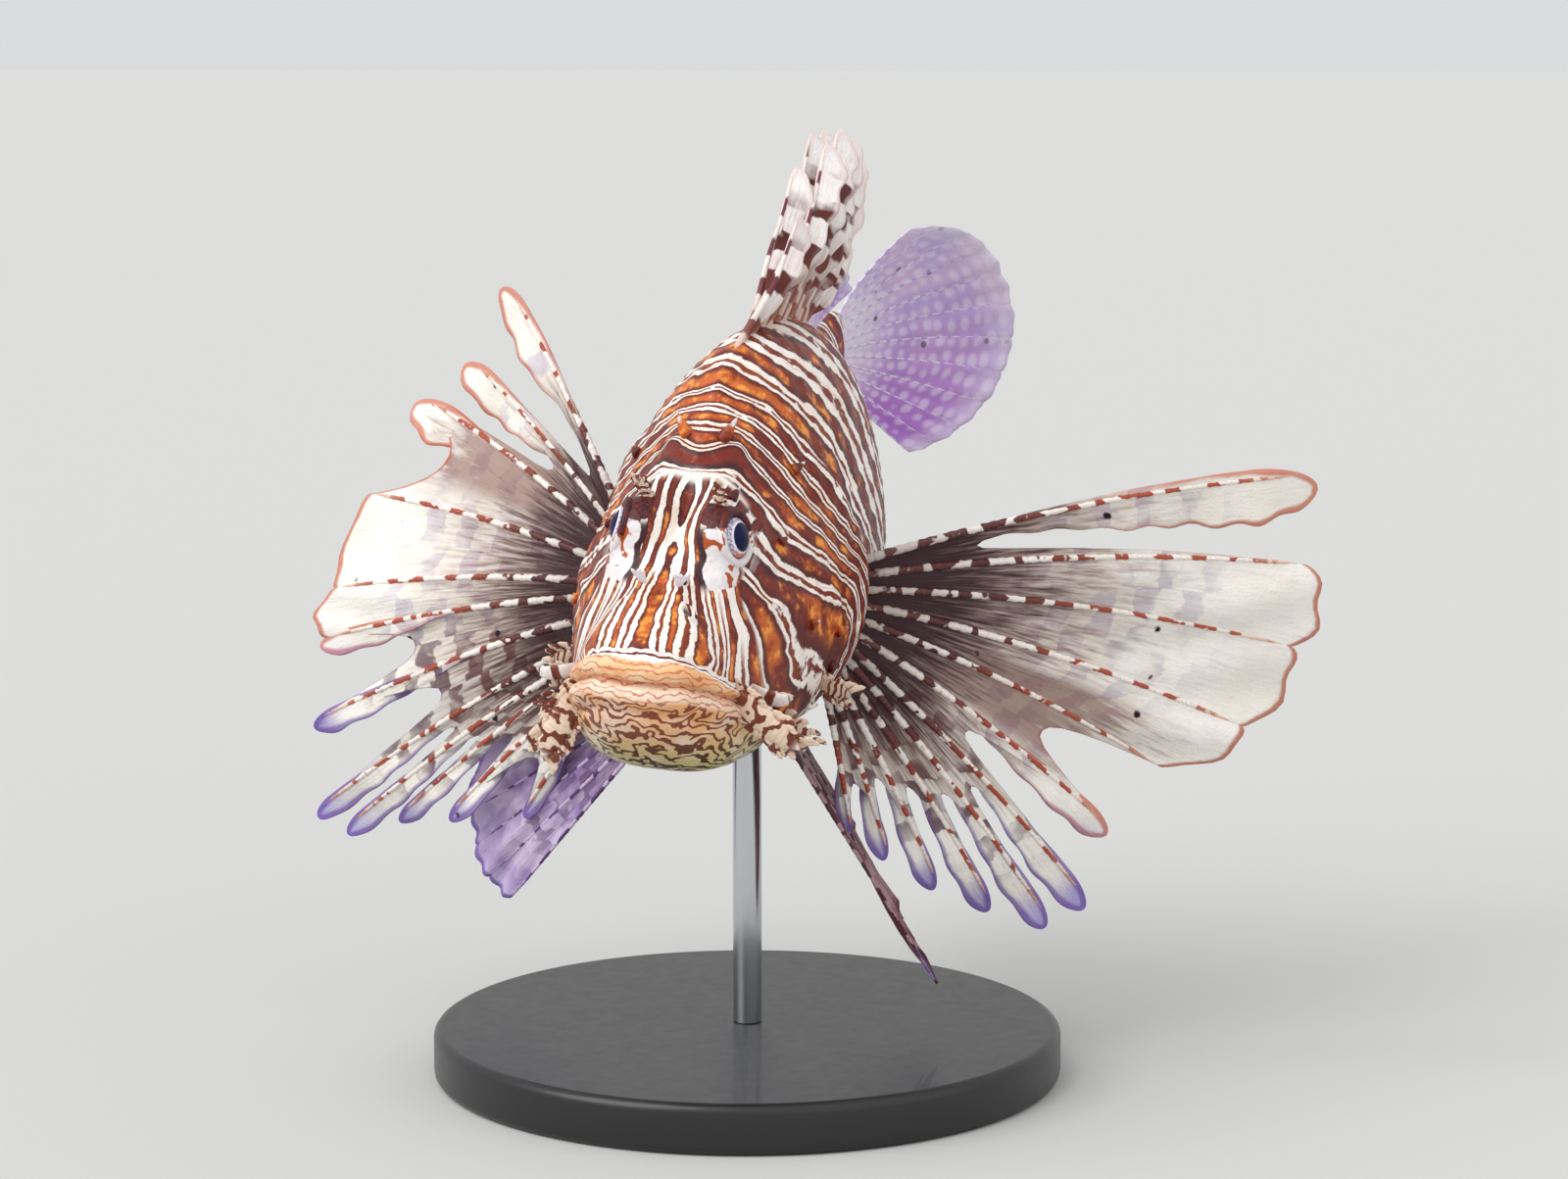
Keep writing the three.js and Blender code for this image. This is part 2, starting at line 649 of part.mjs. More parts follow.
const SPINY_DORSAL = {
  from: 71,
  to: 148,
  up: 1,
  sunk: 3,
  lean: [60, 64],
  splay: 11,
  rows: 8,
  sway: 2.6,
  lengths: [54, 66, 73, 75, 76, 75, 73, 70, 67, 62, 55, 46, 38],
  webs: Array(12).fill(0.25),
  flaps: [3.6, 4, 4.4, 4.6, 4.6, 4.6, 4.4, 4.2, 4, 3.6, 3.2, 2.6, 2],
  ridge: [0.7, 0.5],
  thick: [1.1, 0.5],
};
const SOFT_DORSAL = {
  from: 154,
  to: 196,
  up: 1,
  sunk: 2,
  lean: [64, 76],
  splay: 8,
  rows: 5,
  sway: 0,
  lengths: [34, 42, 45, 44, 40, 36, 31, 27],
  webs: Array(7).fill(0.97),
  flaps: Array(8).fill(0),
  ridge: [0.6, 0.5],
  thick: [0.8, 0.4],
};
const ANAL = {
  from: 148,
  to: 186,
  up: -1,
  sunk: 2,
  lean: [34, 66],
  splay: 0,
  rows: 5,
  sway: 0,
  lengths: [24, 40, 46, 47, 44, 38, 32, 26],
  webs: Array(7).fill(0.97),
  flaps: Array(8).fill(0),
  ridge: [0.6, 0.5],
  thick: [0.8, 0.4],
};

// Caudal fin: a fan from the tail root that curls to the fish's left
const CAUDAL_LENGTHS = [33, 41, 49, 55, 59, 62, 63, 61, 57, 51, 44, 37];
const CAUDAL_SPREAD = radians(42);
const CAUDAL_CURL = radians(50);
const CAUDAL_ROWS = 6;
const CAUDAL_LOOK = {
  webs: Array(11).fill(0.97),
  flaps: Array(12).fill(0),
  ridge: [0.5, 0.7],
  thick: [0.9, 0.4],
};
function caudalRays() {
  const last = CAUDAL_LENGTHS.length - 1;
  const start = radians(HEADINGS[HEADINGS.length - 1].turn);
  return CAUDAL_LENGTHS.map((length, i) => {
    const up = lerp(1, -1, i / last);
    const root = bend(vec(0, TAIL_ROOT - 3, outline("mid", TAIL_ROOT) + up * 8));
    const ray = [root.clone()];
    const angle = up * CAUDAL_SPREAD;
    for (let j = 1; j <= CAUDAL_ROWS; j += 1) {
      const turn = start + CAUDAL_CURL * ((j - 0.5) / CAUDAL_ROWS);
      const step = length / CAUDAL_ROWS;
      root.x += Math.sin(turn) * Math.cos(angle) * step;
      root.y += Math.cos(turn) * Math.cos(angle) * step;
      root.z += Math.sin(angle) * step;
      ray.push(root.clone());
    }
    return ray;
  });
}

// Pelvic fins: each a fan between its leading and its last ray; the right one is spread, the left folded
const PELVIC_ROOT = vec(8, 80, -34);
const LEFT_PELVIC = {
  lead: [0.54, 0.06, -0.84],
  trail: [0.34, 0.42, -0.84],
  lengths: [85, 88, 84, 76, 66, 54],
};
const RIGHT_PELVIC = {
  lead: [0.57, 0.17, -0.8],
  trail: [0.86, 0.24, -0.46],
  lengths: [84, 86, 84, 80, 75, 68],
};
const PELVIC_ROWS = 8;
const PELVIC_LOOK = {
  webs: Array(5).fill(0.88),
  flaps: [0.3, 0.3, 0.3, 0.3, 0.3, 0],
  ridge: [0.5, 0.7],
  thick: [1, 0.5],
};
function pelvicRays(side, plan) {
  const last = plan.lengths.length - 1;
  return plan.lengths.map((length, i) => {
    const away = vec(...plan.lead).lerp(vec(...plan.trail), i / last).normalize();
    const root = PELVIC_ROOT.clone().add(vec(0, lerp(-4, 5, i / last), 0));
    const ray = [];
    for (let j = 0; j <= PELVIC_ROWS; j += 1) {
      const p = root.clone().addScaledVector(away, (length * j) / PELVIC_ROWS);
      p.x *= side;
      ray.push(p);
    }
    return ray;
  });
}

const mirrored = (points, side) => points.map((p) => vec(p.x * side, p.y, p.z));
const LEFT_MOUTH_TENTACLE = [
  vec(14, 18, -10.5),
  vec(20.5, 15.5, -14.5),
  vec(27.5, 14, -19),
  vec(33.5, 14, -23),
];
const RIGHT_MOUTH_TENTACLE = [
  vec(15, 19, -14),
  vec(19.5, 16, -20),
  vec(22.5, 14.5, -26),
  vec(25.5, 14, -32),
];
const BROW_TENTACLE = [vec(7.8, 34.5, 22), vec(8.5, 34, 25.5), vec(9.6, 33, 29.5)];

const cut = (piece) => largest(piece.subtract(clearance));

// Materials
const coat = (colour) => new THREE.MeshStandardMaterial({ color: colour, roughness: 0.5, metalness: 0 });
const bodyCoat = coat(0xa8502f);
const finCoat = coat(0xd8c6c0);
const tailCoat = coat(0xbda5d0);
const eyeCoat = new THREE.MeshStandardMaterial({ color: 0x30304c, roughness: 0.1, metalness: 0 });
const steel = new THREE.MeshStandardMaterial({ color: 0xc4c6ca, roughness: 0.3, metalness: 1 });
const baseCoat = new THREE.MeshStandardMaterial({ color: 0x24242a, roughness: 0.4, metalness: 0 });

const group = new THREE.Group();
const fish = new THREE.Group();
const poseTurn = new THREE.Euler(NOSE_DOWN, LEAN, 0);
const belly = bend(vec(0, ROD_AT, outline("low", ROD_AT)));
const carried = belly.clone().applyEuler(poseTurn);
fish.rotation.copy(poseTurn);
fish.position.set(-carried.x, -carried.y, BASE_HEIGHT + BELLY_OVER_BASE - carried.z);
group.add(fish);

function addPiece(parent, name, body, material) {
  const mesh = new THREE.Mesh(geometryOf(body), material);
  mesh.name = name;
  parent.add(mesh);
}

addPiece(fish, "head", head, bodyCoat);
addPiece(fish, "lower_jaw", lowerJaw, bodyCoat);
addPiece(fish, "torso", torso, bodyCoat);
addPiece(fish, "tail", tail, bodyCoat);
addPiece(fish, "dorsal_fin_spiny", cut(rayedFin(medianRays(SPINY_DORSAL), SPINY_DORSAL)), finCoat);
addPiece(fish, "dorsal_fin_soft", cut(rayedFin(medianRays(SOFT_DORSAL), SOFT_DORSAL)), tailCoat);
addPiece(fish, "anal_fin", cut(rayedFin(medianRays(ANAL), ANAL)), tailCoat);
addPiece(fish, "caudal_fin", cut(rayedFin(caudalRays(), CAUDAL_LOOK)), tailCoat);
[
  ["left", 1, LEFT_PECTORAL, LEFT_PELVIC, LEFT_MOUTH_TENTACLE],
  ["right", -1, RIGHT_PECTORAL, RIGHT_PELVIC, RIGHT_MOUTH_TENTACLE],
].forEach(([word, side, pectoral, pelvic, mouthTentacle]) => {
  addPiece(fish, `eye_${word}`, eyeBall(side, EYE_RADIUS), eyeCoat);
  const breastFin = rayedFin(pectoralRays(side, pectoral), { ...pectoral, ...PECTORAL_LOOK });
  addPiece(fish, `pectoral_fin_${word}`, cut(breastFin), finCoat);
  addPiece(fish, `pelvic_fin_${word}`, cut(rayedFin(pelvicRays(side, pelvic), PELVIC_LOOK)), finCoat);
  addPiece(fish, `mouth_tentacle_${word}`, cut(tentacle(mirrored(mouthTentacle, side), 6.6, 6)), finCoat);
  addPiece(fish, `brow_tentacle_${word}`, cut(tentacle(mirrored(BROW_TENTACLE, side), 2.4, 5)), finCoat);
});

// The stand: a round base with a rod up to the belly, whose top follows the belly's curve
const baseProfile = [
  new THREE.Vector2(0, 0),
  new THREE.Vector2(BASE_RADIUS - 1, 0),
  new THREE.Vector2(BASE_RADIUS, 1),
  new THREE.Vector2(BASE_RADIUS, BASE_HEIGHT - BASE_EDGE),
  new THREE.Vector2(BASE_RADIUS - BASE_EDGE, BASE_HEIGHT),
  new THREE.Vector2(0, BASE_HEIGHT),
];
const baseShape = new THREE.LatheGeometry(baseProfile, 48);
baseShape.rotateX(Math.PI / 2);
addPiece(group, "stand_base", solid(baseShape), baseCoat);

const rodLength = BELLY_OVER_BASE + 12;
const rodShape = new THREE.CylinderGeometry(ROD_RADIUS, ROD_RADIUS, rodLength, 16);
rodShape.rotateX(Math.PI / 2);
rodShape.translate(0, 0, BASE_HEIGHT + GAP + rodLength / 2);
fish.updateMatrixWorld(true);
rodShape.applyMatrix4(fish.matrixWorld.clone().invert());
addPiece(fish, "stand_rod", cut(solid(rodShape)), steel);

export default group;
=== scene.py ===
"""Looks of a life-size red lionfish on its display stand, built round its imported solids."""

import math

import bmesh
import bpy
import numpy as np
from mathutils import Matrix, Vector


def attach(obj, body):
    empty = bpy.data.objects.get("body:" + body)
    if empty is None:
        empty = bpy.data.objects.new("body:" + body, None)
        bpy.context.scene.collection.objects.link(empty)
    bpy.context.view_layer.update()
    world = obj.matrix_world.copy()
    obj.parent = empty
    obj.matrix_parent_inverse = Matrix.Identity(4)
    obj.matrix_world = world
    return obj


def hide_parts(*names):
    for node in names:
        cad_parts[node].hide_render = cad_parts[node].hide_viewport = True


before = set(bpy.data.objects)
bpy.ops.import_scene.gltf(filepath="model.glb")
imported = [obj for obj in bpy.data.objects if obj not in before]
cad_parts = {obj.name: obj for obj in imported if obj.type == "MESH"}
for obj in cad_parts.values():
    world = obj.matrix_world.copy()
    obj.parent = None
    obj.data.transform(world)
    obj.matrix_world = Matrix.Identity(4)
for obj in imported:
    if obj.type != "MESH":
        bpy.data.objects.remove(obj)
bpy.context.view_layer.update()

bl_info = {
    "name": "Red lionfish model",
    "version": (1, 0, 0),
    "blender": (4, 5, 0),
    "location": "View3D > Sidebar > Lionfish",
    "description": "Builds the skin, eyes, fins, tentacles and stand of a life-size red lionfish",
    "category": "Object",
}

# One millimetre in metres
MM = 0.001

# Sizes in millimetres, in the fish's own straight frame: x to its left, y from the lip to the tail, z up.
NOSE_DOWN = math.radians(10)
LEAN = math.radians(4.5)
BASE_RADIUS = 76
BASE_HEIGHT = 12
ROD_RADIUS = 3.5
ROD_AT = 94
BELLY_OVER_BASE = 84
SNOUT = -2
TAIL_ROOT = 225
MOUTH_CORNER = 20
EYE_RADIUS = 6
EYE_AT = np.array([9.6, 33, 16.9])
EYE_LOOK = np.array([0.93, -0.24, 0.27]) / np.linalg.norm([0.93, -0.24, 0.27])
ORBIT_RADIUS = 7.4
ORBIT_AT = EYE_AT - 0.5 * EYE_LOOK
ORBIT_CORE = np.array([7.4, 35.5, 12.4])
LID_OPENING = 4.75
# Where the stripes of the snout give way to the bars of the trunk, between the eyes
SNOUT_BARS_END = 43.5
# How far from the edge of the bulge under an eye its distance is still counted
BAG_REACH = 4.0
# Length of the tail's end that narrows
TAIL_TAPER = 8

# Outline of the body: place from the lip, back, belly, widest line, half width, squareness above and below
STATIONS = (
    (-2, -6.2, -6.2, -6.2, 0, 2, 2),
    (0, 0.5, -15, -6.2, 9.5, 2, 2.2),
    (5, 4, -22.5, -8.6, 13.6, 2, 2.4),
    (10, 7, -27.5, -11.1, 16.4, 1.9, 2.6),
    (18, 10.5, -33, -15, 19.5, 1.7, 2.8),
    (25, 16, -35.5, -15, 21.5, 1.8, 2.8),
    (33, 24.5, -37, -14, 24, 1.85, 2.7),
    (45, 30.5, -38, -12, 27.5, 1.6, 2.5),
    (54, 36, -38.5, -11, 30, 1.45, 2.4),
    (71, 47, -39, -10, 31, 1.55, 2.3),
    (90, 49.5, -38.5, -9, 30.5, 1.6, 2.2),
    (110, 47, -37, -8, 28.5, 1.65, 2.1),
    (130, 42, -34, -3, 23.5, 1.8, 2),
    (150, 35, -28, 2, 18, 1.9, 2),
    (170, 28.5, -18.5, 6, 12.5, 2, 2),
    (190, 23.5, -9, 8.5, 8.5, 2, 2),
    (205, 21, -3.5, 9.5, 6, 2, 2),
    (225, 22, -1.5, 10.5, 3.6, 2, 2),
)
# Names of the columns after the first: half is the half width
KEYS = ("top", "low", "mid", "half", "over", "under")
# Heading of the backbone seen from above: place from the lip, degrees towards the fish's left
HEADINGS = ((-2, 0), (60, 0), (82, 4), (110, 0), (140, -9), (170, -11), (200, -3), (225, 15))


def through(places, values, at):
    """A smooth curve through values at places, read at one or many places."""
    places = np.asarray(places, float)
    values = np.asarray(values, float)
    last = len(places) - 1
    before = np.maximum(np.arange(last + 1) - 1, 0)
    after = np.minimum(np.arange(last + 1) + 1, last)
    slopes = (values[after] - values[before]) / (places[after] - places[before])
    i = np.clip(np.searchsorted(places, at, side="left") - 1, 0, last - 1)
    span = places[i + 1] - places[i]
    t = np.clip((at - places[i]) / span, 0, 1)
    blend = t * t * (3 - 2 * t)
    rise = values[i] * (1 - blend) + values[i + 1] * blend
    return rise + slopes[i] * span * t * (1 - t) ** 2 + slopes[i + 1] * span * t * t * (t - 1)


def from_snout(s):
    """A measure along the body that is finer near the snout."""
    return np.sqrt(np.maximum(np.asarray(s, float) - SNOUT, 0))


def outline(key, s):
    """One line of the body's outline, by its name in KEYS."""
    column = 1 + KEYS.index(key)
    return through(
        from_snout([row[0] for row in STATIONS]), [row[column] for row in STATIONS], from_snout(s)
    )


def smooth(value, low, high):
    t = np.clip((value - low) / (high - low), 0, 1)
    return t * t * (3 - 2 * t)


def hump(value, middle, width):
    return np.exp(-(((value - middle) / width) ** 2))


def spine_of_back():
    """The backbone seen from above, stepped along its heading: place, x, y and turn."""
    rows = [(SNOUT, 0.0, SNOUT, 0.0)]
    for s in range(SNOUT, TAIL_ROOT + 80):
        turn = math.radians(through(*zip(*HEADINGS), min(s, TAIL_ROOT)))
        rows.append((s + 1, rows[-1][1] + math.sin(turn), rows[-1][2] + math.cos(turn), turn))
    return np.array(rows)


BACKBONE = spine_of_back()


def bend(p):
    """Points of the straight fish carried onto the bent backbone."""
    s = p[:, 1]
    x, y, turn = (np.interp(s, BACKBONE[:, 0], BACKBONE[:, k]) for k in (1, 2, 3))
    return np.stack(
        [x + p[:, 0] * np.cos(turn), y - p[:, 0] * np.sin(turn) + np.minimum(s - SNOUT, 0), p[:, 2]], 1
    )


TURN = np.array(Matrix.Rotation(NOSE_DOWN, 3, "X") @ Matrix.Rotation(LEAN, 3, "Y"))
BELLY = bend(np.array([[0, ROD_AT, float(outline("low", ROD_AT))]]))[0]
LIFT = np.array([0, 0, BASE_HEIGHT + BELLY_OVER_BASE]) - TURN @ BELLY


def pose(p):
    """Points of the bent fish in metres, in the frame of the solids."""
    return (p @ TURN.T + LIFT) * MM


def plain_skin(s, angle):
    """The section at s before relief: the fish's left at angle 0, the back a quarter turn on."""
    c, d = np.cos(angle), np.sin(angle)
    mid = outline("mid", s)
    power = 2 / np.where(d > 0, outline("over", s), outline("under", s))
    reach = np.where(d > 0, outline("top", s) - mid, mid - outline("low", s))
    x = outline("half", s) * np.sign(c) * np.abs(c) ** power
    return np.stack([x, s, mid + reach * np.sign(d) * np.abs(d) ** power], -1)


def mouth_height(s):
    return -6.2 - 9.8 * np.clip(s / MOUTH_CORNER, 0, 1)


# Nostrils on each side: places on the plain snout
NOSTRILS = (np.array([4.6, 20, 10.5]), np.array([7.4, 13, 6]))
# Edge of the gill cover from top to bottom: height, place from the lip
GILL_EDGE = ((70, 64), (44, 64), (26, 73), (8, 82), (-6, 84), (-20, 79), (-31, 68), (-42, 56), (-60, 52))


def gill_edge_at(z):
    heights, places = zip(*reversed(GILL_EDGE))
    return through(heights, places, z)


def relief(p):
    """The height of what the head carries above its plain section, with the gill cover's edge."""
    side, s, z = np.abs(p[..., 0]), p[..., 1], p[..., 2]
    near_eyes = hump(s, 34, 9)
    hollow = -5.5 * hump(side, 0, 4.8) * near_eyes
    brow = 1.6 * hump(side, 7.6, 3) * near_eyes
    front = 1 - smooth(s, MOUTH_CORNER - 6, MOUTH_CORNER + 4)
    above = z - mouth_height(s)
    crease = lip_top(s) + 1.2
    lips = 1.2 * hump(above, crease * 0.45, 2) + 1.2 * hump(above, -3.2, 2.4)
    seam = -2.2 * hump(above, 0, 0.75) - 0.9 * hump(above, crease, 1) - 0.5 * hump(above, -7.5, 1.2)
    top = np.where(z > 0, hollow + brow, 0)
    ahead = gill_edge_at(z) - s
    on_side = 1 - smooth(np.abs(z + 4), 22, 34)
    cover = 1.6 * on_side * (1 - smooth(ahead, 0, 14)) * smooth(ahead, -2.5, 0)
    return top + front * (lips + seam) + cover + fine_relief(side, s, z)


def fine_relief(side, s, z):
    """Ridges and furrows that the head's bones raise under the skin."""
    bag = 2.0 * hump(side, 11.5, 3.4) * hump(s, 26, 4.5) * hump(z, 9, 6)
    nose = 1.0 * hump(side, 4.5, 2) * hump(s, 15, 4) * smooth(z, 0, 4)
    groove = -0.9 * hump(side, 0, 1.8) * hump(s, 14, 7) * smooth(z, 0, 4)
    cheek_line = z - (2 - 0.22 * (s - 34))
    shelf = 0.9 * hump(cheek_line, 0, 2.2) * smooth(s, 28, 36) * (1 - smooth(s, 58, 66))
    cover_bone = 0.8 * hump(s - (62 - 0.02 * (z + 12) ** 2), 0, 2.4) * (1 - smooth(np.abs(z + 12), 16, 26))
    nape = 0.8 * hump(side, 7, 2.6) * hump(s, 52, 7) * smooth(z, 20, 26)
    ripple = 0.25 * np.sin(s * 0.9 + z * 0.5) * np.sin(z * 0.8 - side * 0.6) * smooth(s, 20, 40)
    tubes = 0
    for x, y, h in NOSTRILS:
        off = np.sqrt((side - x) ** 2 + (s - y) ** 2 + (z - h) ** 2)
        tubes = tubes + 0.9 * hump(off, 1.7, 0.7) - 1.2 * hump(off, 0, 0.9)
    return bag + nose + groove + shelf + cover_bone + nape + tubes + ripple * (1 - smooth(s, 120, 200))


def over_orbit(p, margin):
    """Points pushed out onto the dome round each eye."""
    side = np.where(p[:, 0] < 0, -1.0, 1.0)
    q = p * np.stack([side, np.ones_like(side), np.ones_like(side)], 1)
    out = q - ORBIT_CORE
    reach = np.linalg.norm(out, axis=1)
    out /= reach[:, None]
    from_dome = ORBIT_CORE - ORBIT_AT
    half = out @ from_dome
    dome = -half + np.sqrt(half**2 - from_dome @ from_dome + (ORBIT_RADIUS + margin) ** 2)
    near = np.maximum(3 - np.abs(reach - dome), 0) / 3
    q = ORBIT_CORE + out * (np.maximum(reach, dome) + near**2 * 0.75)[:, None]
    q[:, 0] *= side
    return q


def skin(s, angle, margin=0.0):
    """Points on the skin, straight frame."""
    here = plain_skin(s, angle)
    ds = plain_skin(s + 0.2, angle) - plain_skin(np.maximum(s - 0.2, SNOUT), angle)
    da = plain_skin(s, angle + 0.03) - plain_skin(s, angle - 0.03)
    normal = np.cross(ds, da)
    length = np.linalg.norm(normal, axis=1)
    normal /= np.maximum(length, 1e-9)[:, None]
    outward = normal[:, 0] * here[:, 0] + normal[:, 2] * (here[:, 2] - outline("mid", s))
    normal[outward < 0] *= -1
    normal[s <= SNOUT + 0.02] = (0, -1, 0)
    here = here + normal * (relief(here) + margin)[:, None]
    return over_orbit(here, margin)


def skin_at(side, s, z):
    """A place on the skin at a given height, with the way out of it."""
    low, high = -math.pi / 2, math.pi / 2
    for _ in range(24):
        middle = (low + high) / 2
        if plain_skin(np.array([s]), np.array([middle]))[0, 2] < z:
            low = middle
        else:
            high = middle
    at = skin(np.array([float(s)]), np.array([low]))[0]
    out = skin(np.array([float(s)]), np.array([low]), 1.0)[0] - at
    flip = np.array([side, 1, 1])
    return at * flip, out / np.linalg.norm(out) * flip


# ---- fins ----
PECTORAL_ROOTS = (np.array([24, 82, -4.0]), np.array([22, 84, -31.0]))
# Ray by ray: angle over the level and sweep back in degrees, length, share of the length that the web
# to the next ray fills, width of the ray's free blade (none below one millimetre)
PECTORALS = {
    1: {
        "angles": (9, -1, -10, -20, -28, -38, -47, -52, -57, -63, -70, -78),
        "sweeps": (28, 28, 28, 28, 28, 26, 24, 22, 20, 18, 16, 14),
        "lengths": (116, 118, 118, 112, 96, 90, 97, 92, 78, 64, 50, 40),
        "webs": (0.3, 1, 1, 1, 0.7, 0.5, 0.6, 0.6, 0.6, 0.6, 0.7),
        "flaps": (11, 0, 0, 0, 0, 6, 6, 5.5, 5, 4.5, 4, 3),
    },
    -1: {
        "angles": (40, 22.5, 15, 2, -11, -17, -27, -37, -40, -42, -46, -56),
        "sweeps": (42, 40, 34, 22, 14, 12, 10, 10, 10, 10, 10, 10),
        "lengths": (76, 78, 84, 84, 88, 91, 99, 110, 104, 88, 74, 56),
        "webs": (0.3, 0.45, 0.8, 1, 1, 0.7, 0.6, 0.6, 0.6, 0.6, 0.7),
        "flaps": (8, 8, 9, 0, 0, 5, 5, 4.5, 4.5, 4, 4, 3),
    },
}
PECTORAL_ARCH = 0.12
MEDIAN_FINS = {
    "dorsal_fin_spiny": {
        "range": (71, 148), "up": 1, "sunk": 3, "lean": (60, 64), "splay": 11, "sway": 2.6,
        "lengths": (54, 66, 73, 75, 76, 75, 73, 70, 67, 62, 55, 46, 38),
        "webs": (0.25,) * 12,
        "flaps": (5, 6, 6.5, 7, 7, 7, 6.5, 6, 6, 5.5, 5, 4.5, 4),
    },
    "dorsal_fin_soft": {
        "range": (154, 196), "up": 1, "sunk": 2, "lean": (64, 76), "splay": 8, "sway": 0,
        "lengths": (34, 42, 45, 44, 40, 36, 31, 27),
        "webs": (1,) * 7,
        "flaps": (0,) * 8,
    },
    "anal_fin": {
        "range": (148, 186), "up": -1, "sunk": 2, "lean": (34, 66), "splay": 0, "sway": 0,
        "lengths": (24, 40, 46, 47, 44, 38, 32, 26),
        "webs": (1,) * 7,
        "flaps": (0,) * 8,
    },
}
CAUDAL = {
    "lengths": (33, 41, 49, 55, 59, 62, 63, 61, 57, 51, 44, 37),
    "spread": math.radians(42),
    "curl": math.radians(50),
    "webs": (1,) * 11,
    "flaps": (0,) * 12,
}
PELVIC_ROOT = np.array([8, 80, -34.0])
PELVICS = {
    1: {
        "lead": (0.54, 0.06, -0.84), "trail": (0.34, 0.42, -0.84),
        "lengths": (85, 88, 84, 76, 66, 54), "webs": (0.88,) * 5, "flaps": (0.3,) * 6,
    },
    -1: {
        "lead": (0.57, 0.17, -0.8), "trail": (0.86, 0.24, -0.46),
        "lengths": (84, 86, 84, 80, 75, 68), "webs": (1,) * 5, "flaps": (0,) * 6,
    },
}


def pectoral_ray(side, i, t):
    plan = PECTORALS[side]
    last = len(plan["lengths"]) - 1
    root = PECTORAL_ROOTS[0] + (PECTORAL_ROOTS[1] - PECTORAL_ROOTS[0]) * i / last
    angle, sweep = math.radians(plan["angles"][i]), math.radians(plan["sweeps"][i])
    away = np.array([math.cos(sweep) * math.cos(angle), math.sin(sweep) * math.cos(angle), math.sin(angle)])
    p = root + t[:, None] * away * plan["lengths"][i]
    p[:, 2] += PECTORAL_ARCH * plan["lengths"][i] * t * (1 - t)
    p[:, 0] *= side
    return p


def median_ray(name, i, t):
    plan = MEDIAN_FINS[name]
    last = len(plan["lengths"]) - 1
    s = plan["range"][0] + (plan["range"][1] - plan["range"][0]) * i / last
    lean = math.radians(plan["lean"][0] + (plan["lean"][1] - plan["lean"][0]) * i / last)
    edge = float(outline("top" if plan["up"] > 0 else "low", s)) - plan["up"] * plan["sunk"]
    reach = plan["lengths"][i] * t
    sway = plan["sway"] * (1 if i % 2 == 0 else -1) * smooth(t, 0.12, 0.6)
    aside = math.sin(math.radians(plan["splay"] * i / last)) * reach + sway
    straight = np.stack(
        [aside, s + math.sin(lean) * reach, edge + plan["up"] * math.cos(lean) * reach], 1
    )
    return bend(straight)


def caudal_ray(i, t):
    last = len(CAUDAL["lengths"]) - 1
    up = 1 - 2 * i / last
    root = bend(np.array([[0, TAIL_ROOT - 3, float(outline("mid", TAIL_ROOT)) + up * 8]]))[0]
    angle = up * CAUDAL["spread"]
    start = math.radians(HEADINGS[-1][1])
    grade = CAUDAL["curl"]
    length = CAUDAL["lengths"][i]
    x = (np.cos(start) - np.cos(start + grade * t)) / grade * length * math.cos(angle)
    y = (np.sin(start + grade * t) - np.sin(start)) / grade * length * math.cos(angle)
    return root + np.stack([x, y, math.sin(angle) * length * t], 1)


def pelvic_ray(side, i, t):
    plan = PELVICS[side]
    last = len(plan["lengths"]) - 1
    away = np.array(plan["lead"]) + (np.array(plan["trail"]) - np.array(plan["lead"])) * i / last
    away /= np.linalg.norm(away)
    root = PELVIC_ROOT + np.array([0, -4 + 9 * i / last, 0])
    p = root + t[:, None] * away * plan["lengths"][i]
    p[:, 0] *= side
    return p


# ---- meshes ----
def unit(way):
    """One direction, or rows of them, one long."""
    return way / (np.linalg.norm(way) if way.ndim == 1 else np.linalg.norm(way, axis=1)[:, None])


def eye_axes(side):
    """Middle of an eyeball, where it looks, the way up its face and the way across."""
    centre, look = EYE_AT * (side, 1, 1), EYE_LOOK * (side, 1, 1)
    up = unit(np.array([0, 0, 1.0]) - look * look[2])
    return centre, look, up, np.cross(look, up)


def new_bmesh(*layers):
    bm = bmesh.new()
    for name in layers:
        bm.verts.layers.float.new(name)
    bm.verts.layers.float_vector.new("rest")
    return bm


def sheet(bm, columns, rows, place):
    """A grid whose points are moved by place(u, w), which gives the points and the values of attributes."""
    verts = bmesh.ops.create_grid(bm, x_segments=columns, y_segments=rows, size=0.5)["verts"]
    u = np.array([v.co.x + 0.5 for v in verts])
    w = np.array([v.co.y + 0.5 for v in verts])
    set_points(bm, verts, *place(u, w))


def set_points(bm, verts, points, values):
    rest = bm.verts.layers.float_vector["rest"]
    for vert, at in zip(verts, values.pop("rest", points)):
        vert[rest] = at
    for vert, at in zip(verts, pose(points)):
        vert.co = at
    for name, column in values.items():
        layer = bm.verts.layers.float[name]
        for vert, value in zip(verts, column):
            vert[layer] = value


def new_object(bm, name, material):
    """The mesh, put into the scene as an object."""
    mesh = bpy.data.meshes.new(name)
    bm.to_mesh(mesh)
    bm.free()
    mesh.materials.append(material)
    made = bpy.data.objects.new(name, mesh)
    bpy.context.scene.collection.objects.link(made)
    return made


def finish_piece(bm, name, material, nodes):
    """Closes seams and poles, turns the faces out and puts the piece on the frame."""
    bmesh.ops.remove_doubles(bm, verts=bm.verts, dist=1e-6)
    bmesh.ops.dissolve_degenerate(bm, edges=bm.edges, dist=1e-7)
    bmesh.ops.recalc_face_normals(bm, faces=bm.faces)
    for face in bm.faces:
        face.smooth = True
    piece = new_object(bm, name, material)
    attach(piece, "root")
    if nodes:
        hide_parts(*nodes)
    return piece


